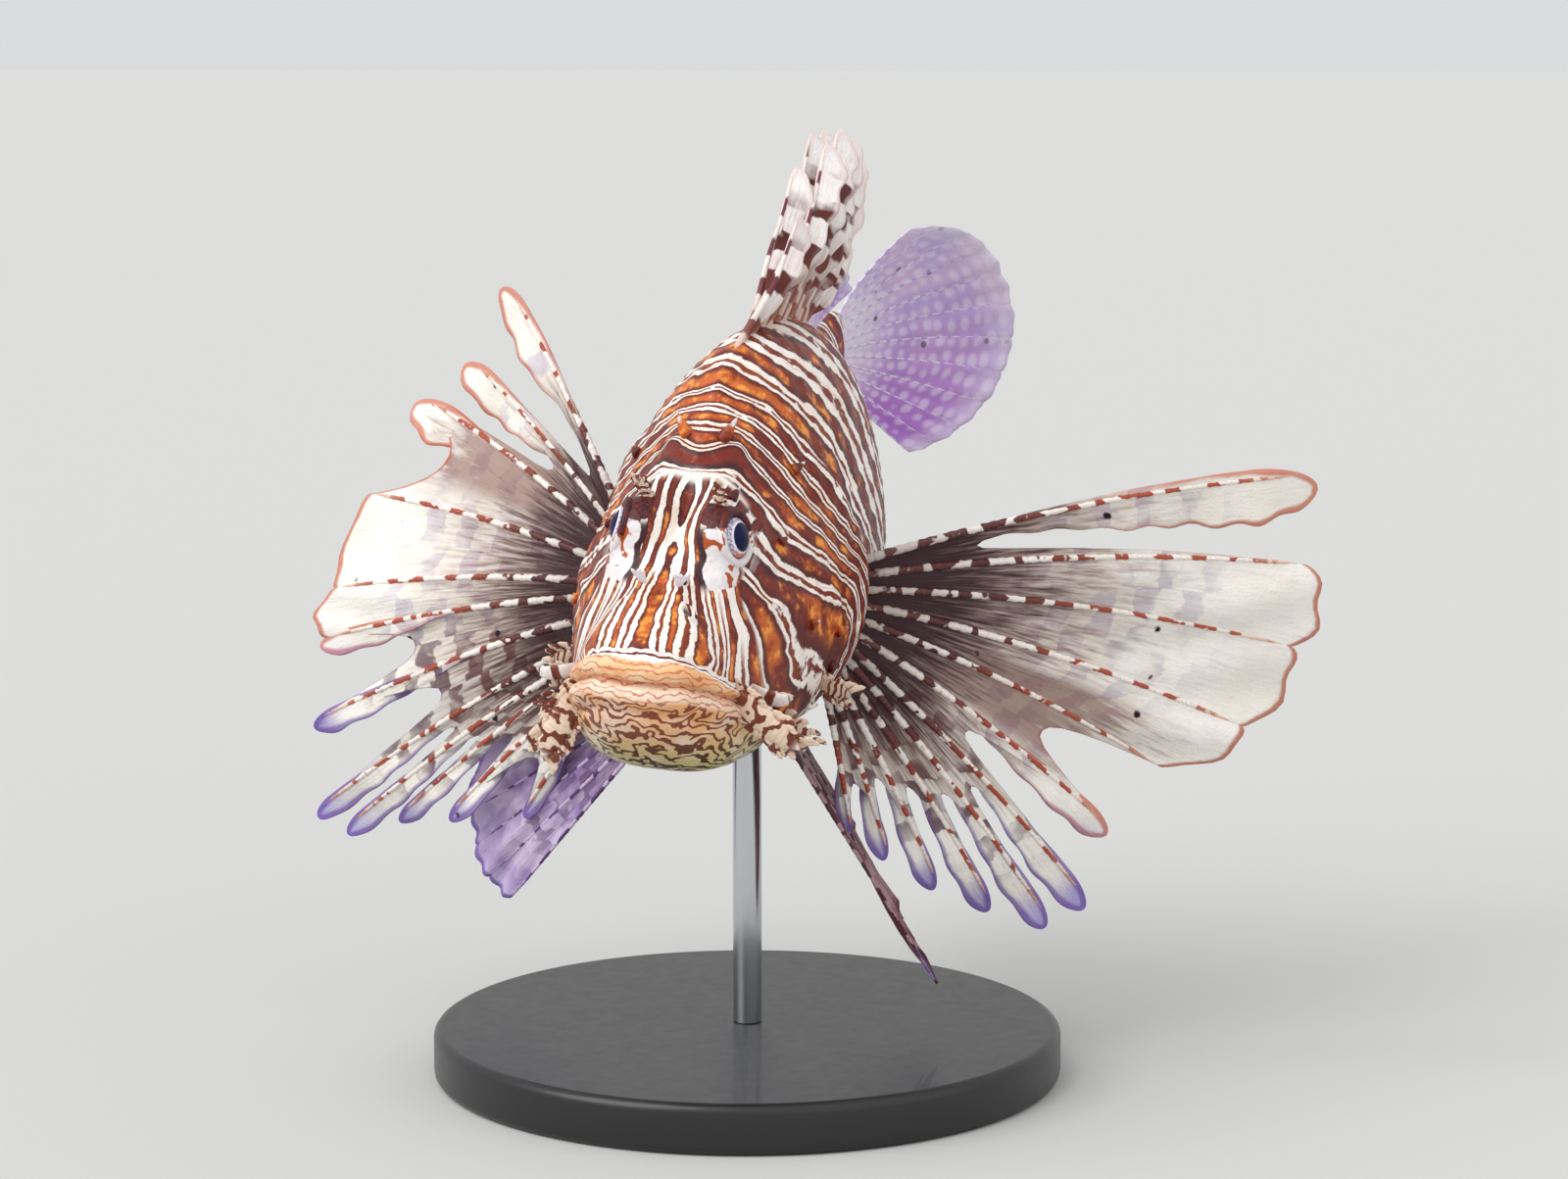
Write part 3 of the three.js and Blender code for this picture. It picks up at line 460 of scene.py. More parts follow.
def tube(bm, path, radius, sides, rows, values):
    """A closed tapered tube: path(t) gives its middle in the bent frame, radius(t) its half thickness."""

    def place(u, t):
        centre = path(t)
        step = 0.01
        along = unit(path(np.minimum(t + step, 1)) - path(np.maximum(t - step, 0)))
        ref = np.where(np.abs(along[:, 2:3]) > 0.9, [[1.0, 0, 0]], [[0, 0, 1.0]])
        flat = unit(np.cross(along, ref))
        up = np.cross(flat, along)
        a = u * 2 * math.pi
        r = radius(t) * np.where((t < 1e-6) | (t > 1 - 1e-6), 0.0, 1.0)
        p = centre + flat * (r * np.cos(a))[:, None] + up * (r * np.sin(a))[:, None]
        return p, values(t)

    sheet(bm, sides, rows, place)


def rays_and_webs(name, ray, plan, materials, look):
    """A fin as two pieces: its tapered rays, and thin webs between them with each ray's free blade."""
    lengths, webs, flaps = plan["lengths"], plan["webs"], plan["flaps"]
    count = len(lengths)
    twist = math.radians(look["twist"])

    def along(i, t):
        return unit(ray(i, t + 0.02) - ray(i, t - 0.02))

    def frame_of(i, t, twist=0.0):
        """Way across the fin towards its next ray, and way out of its face."""
        near = min(max(i, 1), count - 2)
        ahead = along(i, t)
        side = ray(near + 1, t) - ray(near - 1, t)
        side -= ahead * np.sum(side * ahead, axis=1)[:, None]
        side /= np.maximum(np.linalg.norm(side, axis=1), 1e-6)[:, None]
        out = np.cross(side, ahead)
        across = side * math.cos(twist) + out * math.sin(twist)
        return across, out * math.cos(twist) - side * math.sin(twist)

    bones = new_bmesh("reach", "span", "ray")
    for i in range(count):
        length = lengths[i]

        def radius(t, length=length, i=i):
            beads = 1 + look["beads"] * np.sin(t * length * 2 * math.pi / look["bead_pitch"] + i)
            root, tip = look["ray"]
            return (root + (tip - root) * t**0.8) * beads * (1 - 0.6 * smooth(t, 0.93, 1))

        tube(
            bones,
            lambda t, i=i: ray(i, t * 0.985),
            radius,
            8,
            max(24, int(length / look["bead_pitch"] * 4)),
            lambda t, i=i, length=length: {"reach": t, "span": t * length, "ray": np.full_like(t, i)},
        )
    bone_piece = finish_piece(bones, f"{name}_rays", materials[0], (name,))

    membrane = new_bmesh("reach", "span", "ray", "margin")
    for i in range(count - 1):
        mean = (lengths[i] + lengths[i + 1]) / 2

        def place(u, w, i=i, web=webs[i], mean=mean):
            f = 0.5 - 0.5 * np.cos(u * math.pi)
            middle = 4 * f * (1 - f)
            if web > 0.95:
                high = 1 + look["bulge"] * middle ** 0.7 * (1 + 0.25 * np.sin(9 * f + i))
            else:
                high = web + (1 - web) * 0.97 * np.abs(2 * f - 1) ** look["sharp"]
            t = w * high
            a, b = ray(i, t), ray(i + 1, t)
            p = a * (1 - f)[:, None] + b * f[:, None]
            gap = np.linalg.norm(b - a, axis=1)
            billow = look["billow"] * gap * np.sin(math.pi * f) * (1 if i % 2 else -0.6)
            billow += look["ripple"] * np.sin(t * mean * 0.16 + f * 5 + i) * middle * smooth(t, 0.3, 1)
            p = p + frame_of(i, t)[1] * billow[:, None]
            return p, {"reach": t, "span": t * mean, "ray": i + f, "margin": (high - t) * mean}

        sheet(membrane, look["columns"], look["rows"], place)
    for i in range(count):
        flap = flaps[i]
        if flap < 1:
            continue
        start = webs[min(i, count - 2)] * 0.7
        tip = 1.5 * flap / lengths[i]

        def place_flap(u, w, i=i, flap=flap, start=start, tip=tip):
            end = 1 + tip * look["past"]
            t = start + (end - start) * (1 - (1 - w) ** 1.4)
            swell = look["broad"] + (1 - look["broad"]) * smooth(t, start + 0.1, 0.9)
            swell *= smooth(t, start - 0.02, start + 0.25)
            cap = np.sqrt(np.maximum(1 - np.clip((t - end + tip) / tip, 0, 1) ** 2, 0))
            v = u * (1 + look["back"]) - look["back"]
            wavy = 1 + look["scallop"] * np.sin(t * lengths[i] * 0.55 + i * 2) * np.abs(v)
            v = v * cap + look["round"] * (1 - look["back"]) / 2 * (1 - cap)
            width = flap * swell * wavy
            side, out = frame_of(i, t, twist)
            sway = look["ripple"] * np.sin(t * lengths[i] * 0.2 + i) * v
            p = ray(i, t) + side * (width * v)[:, None] + out * sway[:, None]
            near_edge = np.minimum(width * (1 - u), width * u) * cap
            return p, {
                "reach": t,
                "span": t * lengths[i],
                "ray": i + 0.4 * v,
                "margin": np.minimum(near_edge, (end - t) * lengths[i]),
            }

        sheet(membrane, 12, 56, place_flap)
    web_piece = finish_piece(membrane, f"{name}_membrane", materials[1], (name,))
    solidify = web_piece.modifiers.new("thickness", "SOLIDIFY")
    solidify.thickness = look["web"] * MM
    solidify.offset = 0
    return bone_piece, web_piece


# ---- materials ----
def tint(code):
    """A colour written as six hexadecimal digits, as linear values."""
    parts = [int(code[k : k + 2], 16) / 255 for k in (0, 2, 4)]
    return tuple(c / 12.92 if c <= 0.04045 else ((c + 0.055) / 1.055) ** 2.4 for c in parts)


# Colours that one finish alone uses
BONE_LIGHT = tint("efe6e6")
BONE_SPOTS = tint("a8480f")
WARM_LINE = tint("8a3c14")
CHIN_LINE = tint("84361a")
# Painted shade: near black inside the openings of the nostrils
NOSTRIL_SHADE = tint("1c0c10")
FIN_SPOT = tint("180a18")
LOWER_BANDS = tint("54384a")
TAIL_SPOT_PALE = tint("f3ecfa")
TAIL_SPOT_DARK = tint("3a1c48")
TAIL_EDGE = tint("e9e2f0")
PUPIL = tint("050a3a")
PUPIL_RING = tint("f2eef6")
IRIS = ((0.3, tint("4a3a64")), (0.48, tint("a89ab8")), (0.62, tint("efe9f2")))
IRIS_LOWER_EDGE = tint("c8641e")
EYE_EDGE = tint("2a1420")


class Nodes:
    """Adds nodes to a tree and links them."""

    def __init__(self, tree):
        self.tree = tree

    def add(self, kind, **settings):
        made = self.tree.nodes.new(kind)
        for name, value in settings.items():
            setattr(made, name, value)
        return made

    def put(self, value, socket):
        if isinstance(value, bpy.types.NodeSocket):
            self.tree.links.new(value, socket)
        elif socket.type == "RGBA" and len(value) == 3:
            socket.default_value = (*value, 1)
        else:
            socket.default_value = value

    def math(self, operation, *values):
        made = self.add("ShaderNodeMath", operation=operation)
        for value, socket in zip(values, made.inputs):
            self.put(value, socket)
        return made.outputs[0]

    def times(self, *values):
        """The product of two or more values."""
        product = values[0]
        for value in values[1:]:
            product = self.math("MULTIPLY", product, value)
        return product

    def inverse(self, value):
        """What is left of one after a value."""
        return self.math("SUBTRACT", 1.0, value)

    def mix(self, factor, a, b):
        made = self.add("ShaderNodeMix", data_type="RGBA")
        for value, k in ((factor, 0), (a, 6), (b, 7)):
            self.put(value, made.inputs[k])
        return made.outputs[2]

    def ramp(self, value, stops, interpolation="LINEAR"):
        made = self.add("ShaderNodeValToRGB")
        made.color_ramp.interpolation = interpolation
        while len(made.color_ramp.elements) < len(stops):
            made.color_ramp.elements.new(1)
        for element, (at, colour) in zip(made.color_ramp.elements, stops):
            element.position = at
            element.color = (*colour, 1) if not isinstance(colour, (int, float)) else (colour,) * 3 + (1,)
        self.put(value, made.inputs[0])
        return made.outputs[0]

    def attribute(self, name, vector=False):
        made = self.add("ShaderNodeAttribute", attribute_name=name)
        return made.outputs["Vector" if vector else "Fac"]

    def noise(self, vector, scale, detail=2.0, roughness=0.5, distortion=0.0):
        made = self.add("ShaderNodeTexNoise")
        for name, value in (
            ("Vector", vector), ("Scale", scale), ("Detail", detail),
            ("Roughness", roughness), ("Distortion", distortion),
        ):
            self.put(value, made.inputs[name])
        return made.outputs["Fac"]

    def patches(self, vector, scale, low, high, detail=2.0, *shape):
        """Noise cut to patches, with soft edges between low and high."""
        return self.step(self.noise(vector, scale, detail, *shape), low, high)

    def cells(self, vector, scale, feature="F1", randomness=1.0):
        made = self.add("ShaderNodeTexVoronoi", feature=feature)
        for name, value in (("Vector", vector), ("Scale", scale), ("Randomness", randomness)):
            self.put(value, made.inputs[name])
        return made.outputs["Distance"]

    def group(self, tree, **values):
        made = self.add("ShaderNodeGroup", node_tree=tree)
        for name, value in values.items():
            self.put(value, made.inputs[name])
        return made.outputs

    def step(self, value, low, high):
        made = self.add("ShaderNodeMapRange", interpolation_type="SMOOTHSTEP")
        for k, v in enumerate((value, low, high, 0.0, 1.0)):
            self.put(v, made.inputs[k])
        return made.outputs[0]


def node_group(name, inputs, outputs, build):
    """A shader node group with named inputs and outputs, built once."""
    tree = bpy.data.node_groups.get(name)
    if tree:
        return tree
    tree = bpy.data.node_groups.new(name, "ShaderNodeTree")
    for socket, kind, value in inputs:
        made = tree.interface.new_socket(socket, in_out="INPUT", socket_type=kind)
        if value is not None:
            made.default_value = value
    for socket, kind in outputs:
        tree.interface.new_socket(socket, in_out="OUTPUT", socket_type=kind)
    nodes = Nodes(tree)
    start = nodes.add("NodeGroupInput")
    end = nodes.add("NodeGroupOutput")
    for value, socket in zip(build(nodes, start.outputs), end.inputs):
        nodes.put(value, socket)
    return tree


def grain_group():
    """Fine scales and pores: a height and a mottling, from places in millimetres."""

    def build(nodes, source):
        scale = nodes.cells(source["Place"], source["Density"], "SMOOTH_F1", 0.8)
        fine = nodes.noise(source["Place"], 2.2, 3.0, 0.6)
        height = nodes.math("MULTIPLY_ADD", scale, -0.7, nodes.times(fine, 0.5))
        mottle = nodes.noise(source["Place"], 0.35, 3.0, 0.6)
        return height, mottle

    return node_group(
        "fine scales",
        (("Place", "NodeSocketVector", None), ("Density", "NodeSocketFloat", 0.9)),
        (("Height", "NodeSocketFloat"), ("Mottling", "NodeSocketFloat")),
        build,
    )


def stripes_group():
    """Bars from a phase: wide on whole numbers, a thin line half way, fainter ones beside it."""

    def build(nodes, source):
        warp = nodes.noise(source["Place"], 0.14, 2.0, 0.55)
        fray = nodes.noise(source["Place"], 0.8, 3.0, 0.6)
        shift = nodes.times(nodes.math("SUBTRACT", warp, 0.5), source["Waviness"])
        small = nodes.times(nodes.math("SUBTRACT", fray, 0.5), source["Fray"])
        phase = nodes.math("ADD", nodes.math("ADD", source["Phase"], shift), small)
        off = nodes.math("PINGPONG", phase, 0.5)
        uneven = nodes.math("MULTIPLY_ADD", nodes.noise(source["Place"], 0.1, 2.0), 0.2, -0.06)
        width = nodes.math("ADD", source["Width"], uneven)
        bar = nodes.inverse(nodes.step(nodes.math("SUBTRACT", off, width), -0.015, 0.02))
        core = nodes.inverse(nodes.step(nodes.math("DIVIDE", off, width), 0.3, 0.85))
        gone = nodes.patches(source["Place"], 0.2, 0.3, 0.38)
        start = nodes.math("MAXIMUM", nodes.math("MULTIPLY_ADD", width, 0.3, 0.345), 0.415)
        line = nodes.times(nodes.step(nodes.math("SUBTRACT", off, start), -0.01, 0.01), gone)
        beside = nodes.ramp(nodes.times(off, 2.0), ((0, 0), (0.69, 0), (0.725, 1), (0.755, 1), (0.79, 0)))
        some = nodes.patches(source["Place"], 0.13, 0.5, 0.6)
        return bar, line, core, nodes.times(beside, some)

    return node_group(
        "lionfish bars",
        (
            ("Place", "NodeSocketVector", None),
            ("Phase", "NodeSocketFloat", 0.0),
            ("Width", "NodeSocketFloat", 0.28),
            ("Waviness", "NodeSocketFloat", 0.5),
            ("Fray", "NodeSocketFloat", 0.1),
        ),
        (
            ("Bar", "NodeSocketFloat"),
            ("Line", "NodeSocketFloat"),
            ("Core", "NodeSocketFloat"),
            ("Faint", "NodeSocketFloat"),
        ),
        build,
    )


def new_material(name):
    material = bpy.data.materials.new(name)
    material.use_nodes = True
    nodes = Nodes(material.node_tree)
    shader = material.node_tree.nodes["Principled BSDF"]
    return material, nodes, shader


def bump(nodes, shader, height, distance):
    made = nodes.add("ShaderNodeBump")
    made.inputs["Strength"].default_value = 1.0
    made.inputs["Distance"].default_value = distance * MM
    nodes.put(height, made.inputs["Height"])
    nodes.put(made.outputs[0], shader.inputs["Normal"])


def skin_material(colours):
    """Bars of trunk and snout over cream, then chin, lips, bulges, brows, and painted shade in the
    nostrils.
    """
    material, nodes, shader = new_material("barred skin")
    rest = nodes.attribute("rest", True)
    nose = nodes.attribute("nose")
    grain = nodes.group(grain_group(), Place=rest, Density=0.85)
    width = nodes.attribute("width")
    trunk = nodes.group(
        stripes_group(), Place=rest, Phase=nodes.attribute("flow"), Width=width, Waviness=0.3, Fray=0.1
    )
    snout = nodes.group(
        stripes_group(), Place=rest, Phase=nodes.attribute("snout"), Width=width, Waviness=0.4, Fray=0.16
    )

    def either(name):
        return nodes.mix(nose, trunk[name], snout[name])

    show = nodes.inverse(nodes.attribute("gap"))
    lined = nodes.attribute("lined")
    cream = nodes.mix(grain["Mottling"], colours.cream, colours.white)
    cream = nodes.mix(
        nodes.times(nodes.patches(rest, 0.09, 0.5, 0.7), 0.35), cream, colours.peach
    )
    patches = nodes.math("MULTIPLY_ADD", nodes.attribute("warmth"), 0.22, nodes.noise(rest, 0.15, 3.0, 0.6))
    heat = nodes.step(patches, 0.56, 0.76)
    spark = nodes.times(nodes.patches(rest, 0.3, 0.5, 0.66, 3.0, 0.6), heat)
    inner = nodes.mix(nodes.times(either("Core"), heat), colours.red_brown, colours.orange)
    inner = nodes.mix(nodes.times(either("Core"), spark), inner, colours.amber)
    cool = nodes.math("MULTIPLY_ADD", nodes.attribute("warmth"), -0.65, 1.0)
    dark = nodes.mix(nodes.times(nodes.inverse(either("Core")), cool), inner, colours.maroon)
    base = nodes.mix(nodes.times(trunk["Faint"], nodes.inverse(nose), 0.4), cream, colours.tan)
    base = nodes.mix(
        nodes.times(either("Line"), lined, show), base, nodes.mix(heat, colours.red_brown, WARM_LINE)
    )
    base = nodes.mix(nodes.times(either("Bar"), show), base, dark)
    # Chin and throat: a maze of thin lines that run across, on a warm ground
    swirl = nodes.times(nodes.noise(rest, 0.15, 1.0, 0.5, 0.3), 4.6)
    drift = nodes.times(nodes.noise(rest, 0.42, 1.0), 1.3)
    depth = nodes.math("MULTIPLY_ADD", nodes.attribute("mouth"), 0.42, nodes.math("ADD", swirl, drift))
    maze_line = nodes.step(nodes.math("PINGPONG", depth, 0.5), 0.27, 0.33)
    ground = nodes.mix(nodes.attribute("low"), colours.apricot, colours.moss)
    ground = nodes.mix(
        nodes.times(nodes.patches(rest, 0.12, 0.4, 0.7), 0.6), ground, colours.cream
    )
    chin = nodes.mix(
        nodes.times(maze_line, 0.95), ground, nodes.mix(nodes.attribute("low"), CHIN_LINE, colours.brown)
    )
    base = nodes.mix(nodes.attribute("chin"), base, chin)
    # Lips: wavy lines that run along the mouth
    sway = nodes.times(nodes.noise(rest, 0.24, 2.0), 3.0)
    along = nodes.math("PINGPONG", nodes.math("MULTIPLY_ADD", nodes.attribute("mouth"), 0.62, sway), 0.5)
    flesh = nodes.mix(nodes.patches(rest, 0.15, 0.35, 0.65), colours.peach, colours.apricot)
    flesh = nodes.mix(
        nodes.times(nodes.step(nodes.attribute("mouth"), 0.3, -0.5), 0.5), flesh, colours.cream
    )
    lip = nodes.mix(nodes.times(nodes.step(along, 0.34, 0.4), 0.75), flesh, colours.rust)
    base = nodes.mix(nodes.attribute("lip"), base, lip)
    # Above the upper lip a white border with a brown line in it
    edge = nodes.math("ADD", nodes.attribute("edge"), nodes.times(nodes.noise(rest, 0.3, 2.0), 2.4))
    border = nodes.times(nodes.step(edge, 0.9, 1.1), nodes.inverse(nodes.step(edge, 3.1, 3.3)))
    inside = nodes.times(nodes.step(edge, 1.7, 1.8), nodes.inverse(nodes.step(edge, 2.3, 2.4)))
    base = nodes.mix(border, base, nodes.mix(inside, colours.white, colours.red_brown))
    bone = nodes.mix(grain["Mottling"], colours.bone, BONE_LIGHT)
    drops = nodes.patches(rest, 0.24, 0.59, 0.62, 2.0, 0.5, 1.0)
    bone = nodes.mix(drops, bone, BONE_SPOTS)
    # The bulge under each eye has a sharp edge, with a dark line on the side of the snout
    from_edge = nodes.math("MULTIPLY_ADD", nodes.noise(rest, 0.5, 2.0), 0.9, nodes.attribute("bag"))
    beside = nodes.times(nodes.step(from_edge, -1.3, -1.15), nodes.attribute("bag_line"))
    base = nodes.mix(beside, base, colours.maroon)
    base = nodes.mix(nodes.step(from_edge, 0.15, 0.4), base, bone)
    ragged = nodes.math("MULTIPLY_ADD", nodes.noise(rest, 0.7, 2.0), 0.5, -0.25)
    around_eye = nodes.math("ADD", nodes.attribute("pale"), ragged)
    base = nodes.mix(nodes.step(around_eye, 0.4, 0.6), base, bone)
    mesh_lines = nodes.step(nodes.cells(rest, 0.9, "F1", 1.0), 0.35, 0.6)
    over_eye = nodes.math("ADD", nodes.attribute("brow"), ragged)
    patch = nodes.mix(nodes.times(mesh_lines, 0.5), colours.maroon, colours.red_brown)
    base = nodes.mix(nodes.step(over_eye, 0.42, 0.58), base, patch)
    # Painted shade: each nostril's opening is painted near black where its hollow would be dark
    base = nodes.mix(nodes.attribute("pit"), base, NOSTRIL_SHADE)
    nodes.put(base, shader.inputs["Base Color"])
    nodes.put(nodes.math("MULTIPLY_ADD", grain["Mottling"], 0.25, 0.3), shader.inputs["Roughness"])
    shader.inputs["Specular IOR Level"].default_value = 0.35
    shader.inputs["Coat Weight"].default_value = 0.1
    shader.inputs["Coat Roughness"].default_value = 0.2
    bump(nodes, shader, grain["Height"], 0.35)
    return material


def bands_group():
    """Light and dark lengths along rays and blades, shifted from one ray to the next."""

    def build(nodes, source):
        order = nodes.times(nodes.math("ROUND", source["Ray"]), 0.37)
        wander = nodes.times(nodes.noise(source["Place"], 0.22, 2.0), source["Wander"])
        along = nodes.math("MULTIPLY_ADD", source["Span"], source["Rate"], order)
        turn = nodes.math("FRACT", nodes.math("ADD", along, wander))
        rise = nodes.step(turn, 0.0, 0.06)
        fall = nodes.step(nodes.math("SUBTRACT", turn, source["Share"]), 0.0, 0.07)
        return (nodes.times(rise, nodes.inverse(fall)),)

    return node_group(
        "banded rays",
        (
            ("Place", "NodeSocketVector", None),
            ("Span", "NodeSocketFloat", 0.0),
            ("Ray", "NodeSocketFloat", 0.0),
            ("Rate", "NodeSocketFloat", 0.1),
            ("Share", "NodeSocketFloat", 0.45),
            ("Wander", "NodeSocketFloat", 0.5),
        ),
        (("Band", "NodeSocketFloat"),),
        build,
    )


def ray_material(name, pale, dark, root, tip, pitch, share, wander=0.5, outer=None):
    """Rays and spines, ringed light and dark along their length, jointed across."""
    material, nodes, shader = new_material(name)
    rest = nodes.attribute("rest", True)
    span, reach = nodes.attribute("span"), nodes.attribute("reach")
    grain = nodes.group(grain_group(), Place=rest, Density=1.4)
    band = nodes.group(
        bands_group(), Place=rest, Span=span, Ray=nodes.attribute("ray"), Rate=1 / pitch, Share=share,
        Wander=wander
    )["Band"]
    dark = nodes.mix(nodes.step(reach, 0.3, 0.7), dark, outer or dark)
    base = nodes.mix(band, nodes.mix(grain["Mottling"], pale, tuple(c * 0.8 for c in pale)), dark)
    base = nodes.mix(nodes.times(nodes.inverse(nodes.step(reach, 0.05, 0.45)), 0.55), base, root)
    base = nodes.mix(nodes.step(reach, 0.86, 1.0), base, tip)
    nodes.put(base, shader.inputs["Base Color"])
    shader.inputs["Roughness"].default_value = 0.42
    joints = nodes.math("SINE", nodes.times(span, 5.0))
    bump(nodes, shader, nodes.math("MULTIPLY_ADD", joints, 0.25, grain["Height"]), 0.2)
    return material


def membrane_material(
    name, ground, cloud, root, band, rim, tip, rate, share, strength, spots, clear,
    deepest=0.1, tip_from=-2.0, low_rim=None, middle=None, wander=1.2, shaded=(-4.0, -3.0), low_bands=0.0,
):
    """Thin membrane with fine streaks along the rays, bands across them, dark spots and a coloured rim.

    Rays past tip_from are a breast fin's lower ones, shaded gives the dark webs among its rays,
    and clear is how much the membrane covers what is behind it.
    """
    material, nodes, shader = new_material(name)
    rest = nodes.attribute("rest", True)
    span, reach, ray = nodes.attribute("span"), nodes.attribute("reach"), nodes.attribute("ray")
    grain = nodes.group(grain_group(), Place=rest, Density=1.2)
    fan = nodes.add("ShaderNodeCombineXYZ")
    nodes.put(nodes.times(ray, 9.0), fan.inputs[0])
    nodes.put(nodes.times(span, 0.06), fan.inputs[1])
    streaks = nodes.noise(fan.outputs[0], 1.4, 3.0, 0.6)
    base = nodes.mix(nodes.patches(rest, 0.07, 0.38, 0.62, 3.0, 0.6), ground, cloud)
    base = nodes.mix(nodes.times(nodes.step(streaks, 0.5, 0.75), 0.2), base, band)
    across = nodes.group(
        bands_group(), Place=rest, Span=span, Ray=ray, Rate=rate, Share=share, Wander=wander
    )["Band"]
    # The lower rays of a breast fin carry stronger, darker bands
    low = nodes.step(ray, tip_from, tip_from + 1.2)
    share_here = nodes.math("MULTIPLY_ADD", low, low_bands, strength)
    band_here = nodes.mix(nodes.times(low, 1.0 if low_bands else 0.0), band, LOWER_BANDS)
    faded = nodes.times(nodes.times(across, share_here), nodes.patches(rest, 0.12, 0.3, 0.6))
    faded = nodes.times(faded, nodes.inverse(nodes.step(reach, 0.7, 0.92)))
    base = nodes.mix(faded, base, band_here)
    deep = nodes.math("ADD", reach, nodes.times(nodes.math("SUBTRACT", streaks, 0.5), 0.7))
    under = nodes.inverse(nodes.step(deep, deepest + 0.1, deepest + 0.6))
    in_shade = nodes.times(
        nodes.step(ray, shaded[0], shaded[0] + 0.4),
        nodes.step(nodes.math("SUBTRACT", shaded[1], ray), 0.0, 0.5)
    )
    in_shade = nodes.times(in_shade, nodes.inverse(nodes.step(deep, 0.7, 1.0)))
    under = nodes.times(nodes.math("MAXIMUM", under, in_shade), 0.75)
    base = nodes.mix(under, base, middle or root)
    base = nodes.mix(
        nodes.times(nodes.inverse(nodes.step(deep, deepest, deepest + 0.35)), 0.95), base, root
    )
    near = nodes.math("ADD", reach, nodes.times(nodes.noise(rest, 0.1), 0.1))
    at_tip = nodes.times(nodes.step(near, 0.93, 1.06), low)
    base = nodes.mix(nodes.times(at_tip, 0.75), base, tip)
    edge = nodes.math("ADD", nodes.attribute("margin"), nodes.times(nodes.noise(rest, 0.15), 1.2))
    edge = nodes.math("SUBTRACT", edge, nodes.times(nodes.step(reach, 0.8, 0.98), 0.7))
    outline_mask = nodes.inverse(nodes.step(edge, 0.7, 1.7))
    rim = nodes.mix(low, rim, low_rim or rim)
    outline_mask = nodes.times(outline_mask, nodes.step(reach, 0.45, 0.8))
    base = nodes.mix(nodes.times(outline_mask, 0.8), base, rim)
    blots = nodes.math(
        "MULTIPLY_ADD", nodes.noise(rest, 0.8, 2.0), 0.1, nodes.cells(rest, 0.075, "F1", 1.0)
    )
    spot = nodes.inverse(nodes.step(blots, spots, spots + 0.04))
    base = nodes.mix(spot, base, FIN_SPOT)
    nodes.put(base, shader.inputs["Base Color"])
    shader.inputs["Roughness"].default_value = 0.55
    shader.inputs["Specular IOR Level"].default_value = 0.2
    filled = nodes.math("MAXIMUM", nodes.math("MAXIMUM", spot, outline_mask), clear)
    nodes.put(nodes.math("MINIMUM", filled, 1.0), shader.inputs["Alpha"])
    bump(nodes, shader, nodes.math("MULTIPLY_ADD", streaks, 1.5, grain["Height"]), 0.2)
    return material


def spotted_membrane(name, colours):
    """Membrane of the rear fins: lilac with rows of pale round spots, violet along its lower edge."""
    material, nodes, shader = new_material(name)
    rest = nodes.attribute("rest", True)
    span, reach, ray = nodes.attribute("span"), nodes.attribute("reach"), nodes.attribute("ray")
    grain = nodes.group(grain_group(), Place=rest, Density=1.2)
    rows = nodes.add("ShaderNodeCombineXYZ")
    nodes.put(nodes.times(ray, 1.5), rows.inputs[0])
    nodes.put(nodes.times(span, 0.25), rows.inputs[1])
    cells = nodes.cells(rows.outputs[0], 1.0, "F1", 0.35)
    ragged = nodes.math("MULTIPLY_ADD", nodes.noise(rest, 0.5, 3.0), 0.2, cells)
    base = nodes.mix(nodes.patches(rest, 0.06, 0.35, 0.65, 3.0, 0.6), colours.lilac, colours.pink)
    base = nodes.mix(nodes.times(nodes.step(ray, 2.0, 10.5), 0.95), base, colours.magenta)
    base = nodes.mix(nodes.times(nodes.inverse(nodes.step(reach, 0.1, 0.5)), 0.6), base, colours.white)
    pale = nodes.inverse(nodes.step(ragged, 0.3, 0.62))
    base = nodes.mix(nodes.times(pale, 0.42), base, TAIL_SPOT_PALE)
    few = nodes.inverse(nodes.step(nodes.cells(rest, 0.11, "F1", 1.0), 0.08, 0.13))
    base = nodes.mix(nodes.times(few, 0.8), base, TAIL_SPOT_DARK)
    base = nodes.mix(nodes.times(nodes.step(reach, 0.82, 1.0), 0.5), base, TAIL_EDGE)
    nodes.put(base, shader.inputs["Base Color"])
    shader.inputs["Roughness"].default_value = 0.4
    shader.inputs["Alpha"].default_value = 0.9
    bump(nodes, shader, nodes.math("MULTIPLY_ADD", cells, 0.8, grain["Height"]), 0.2)
    return material


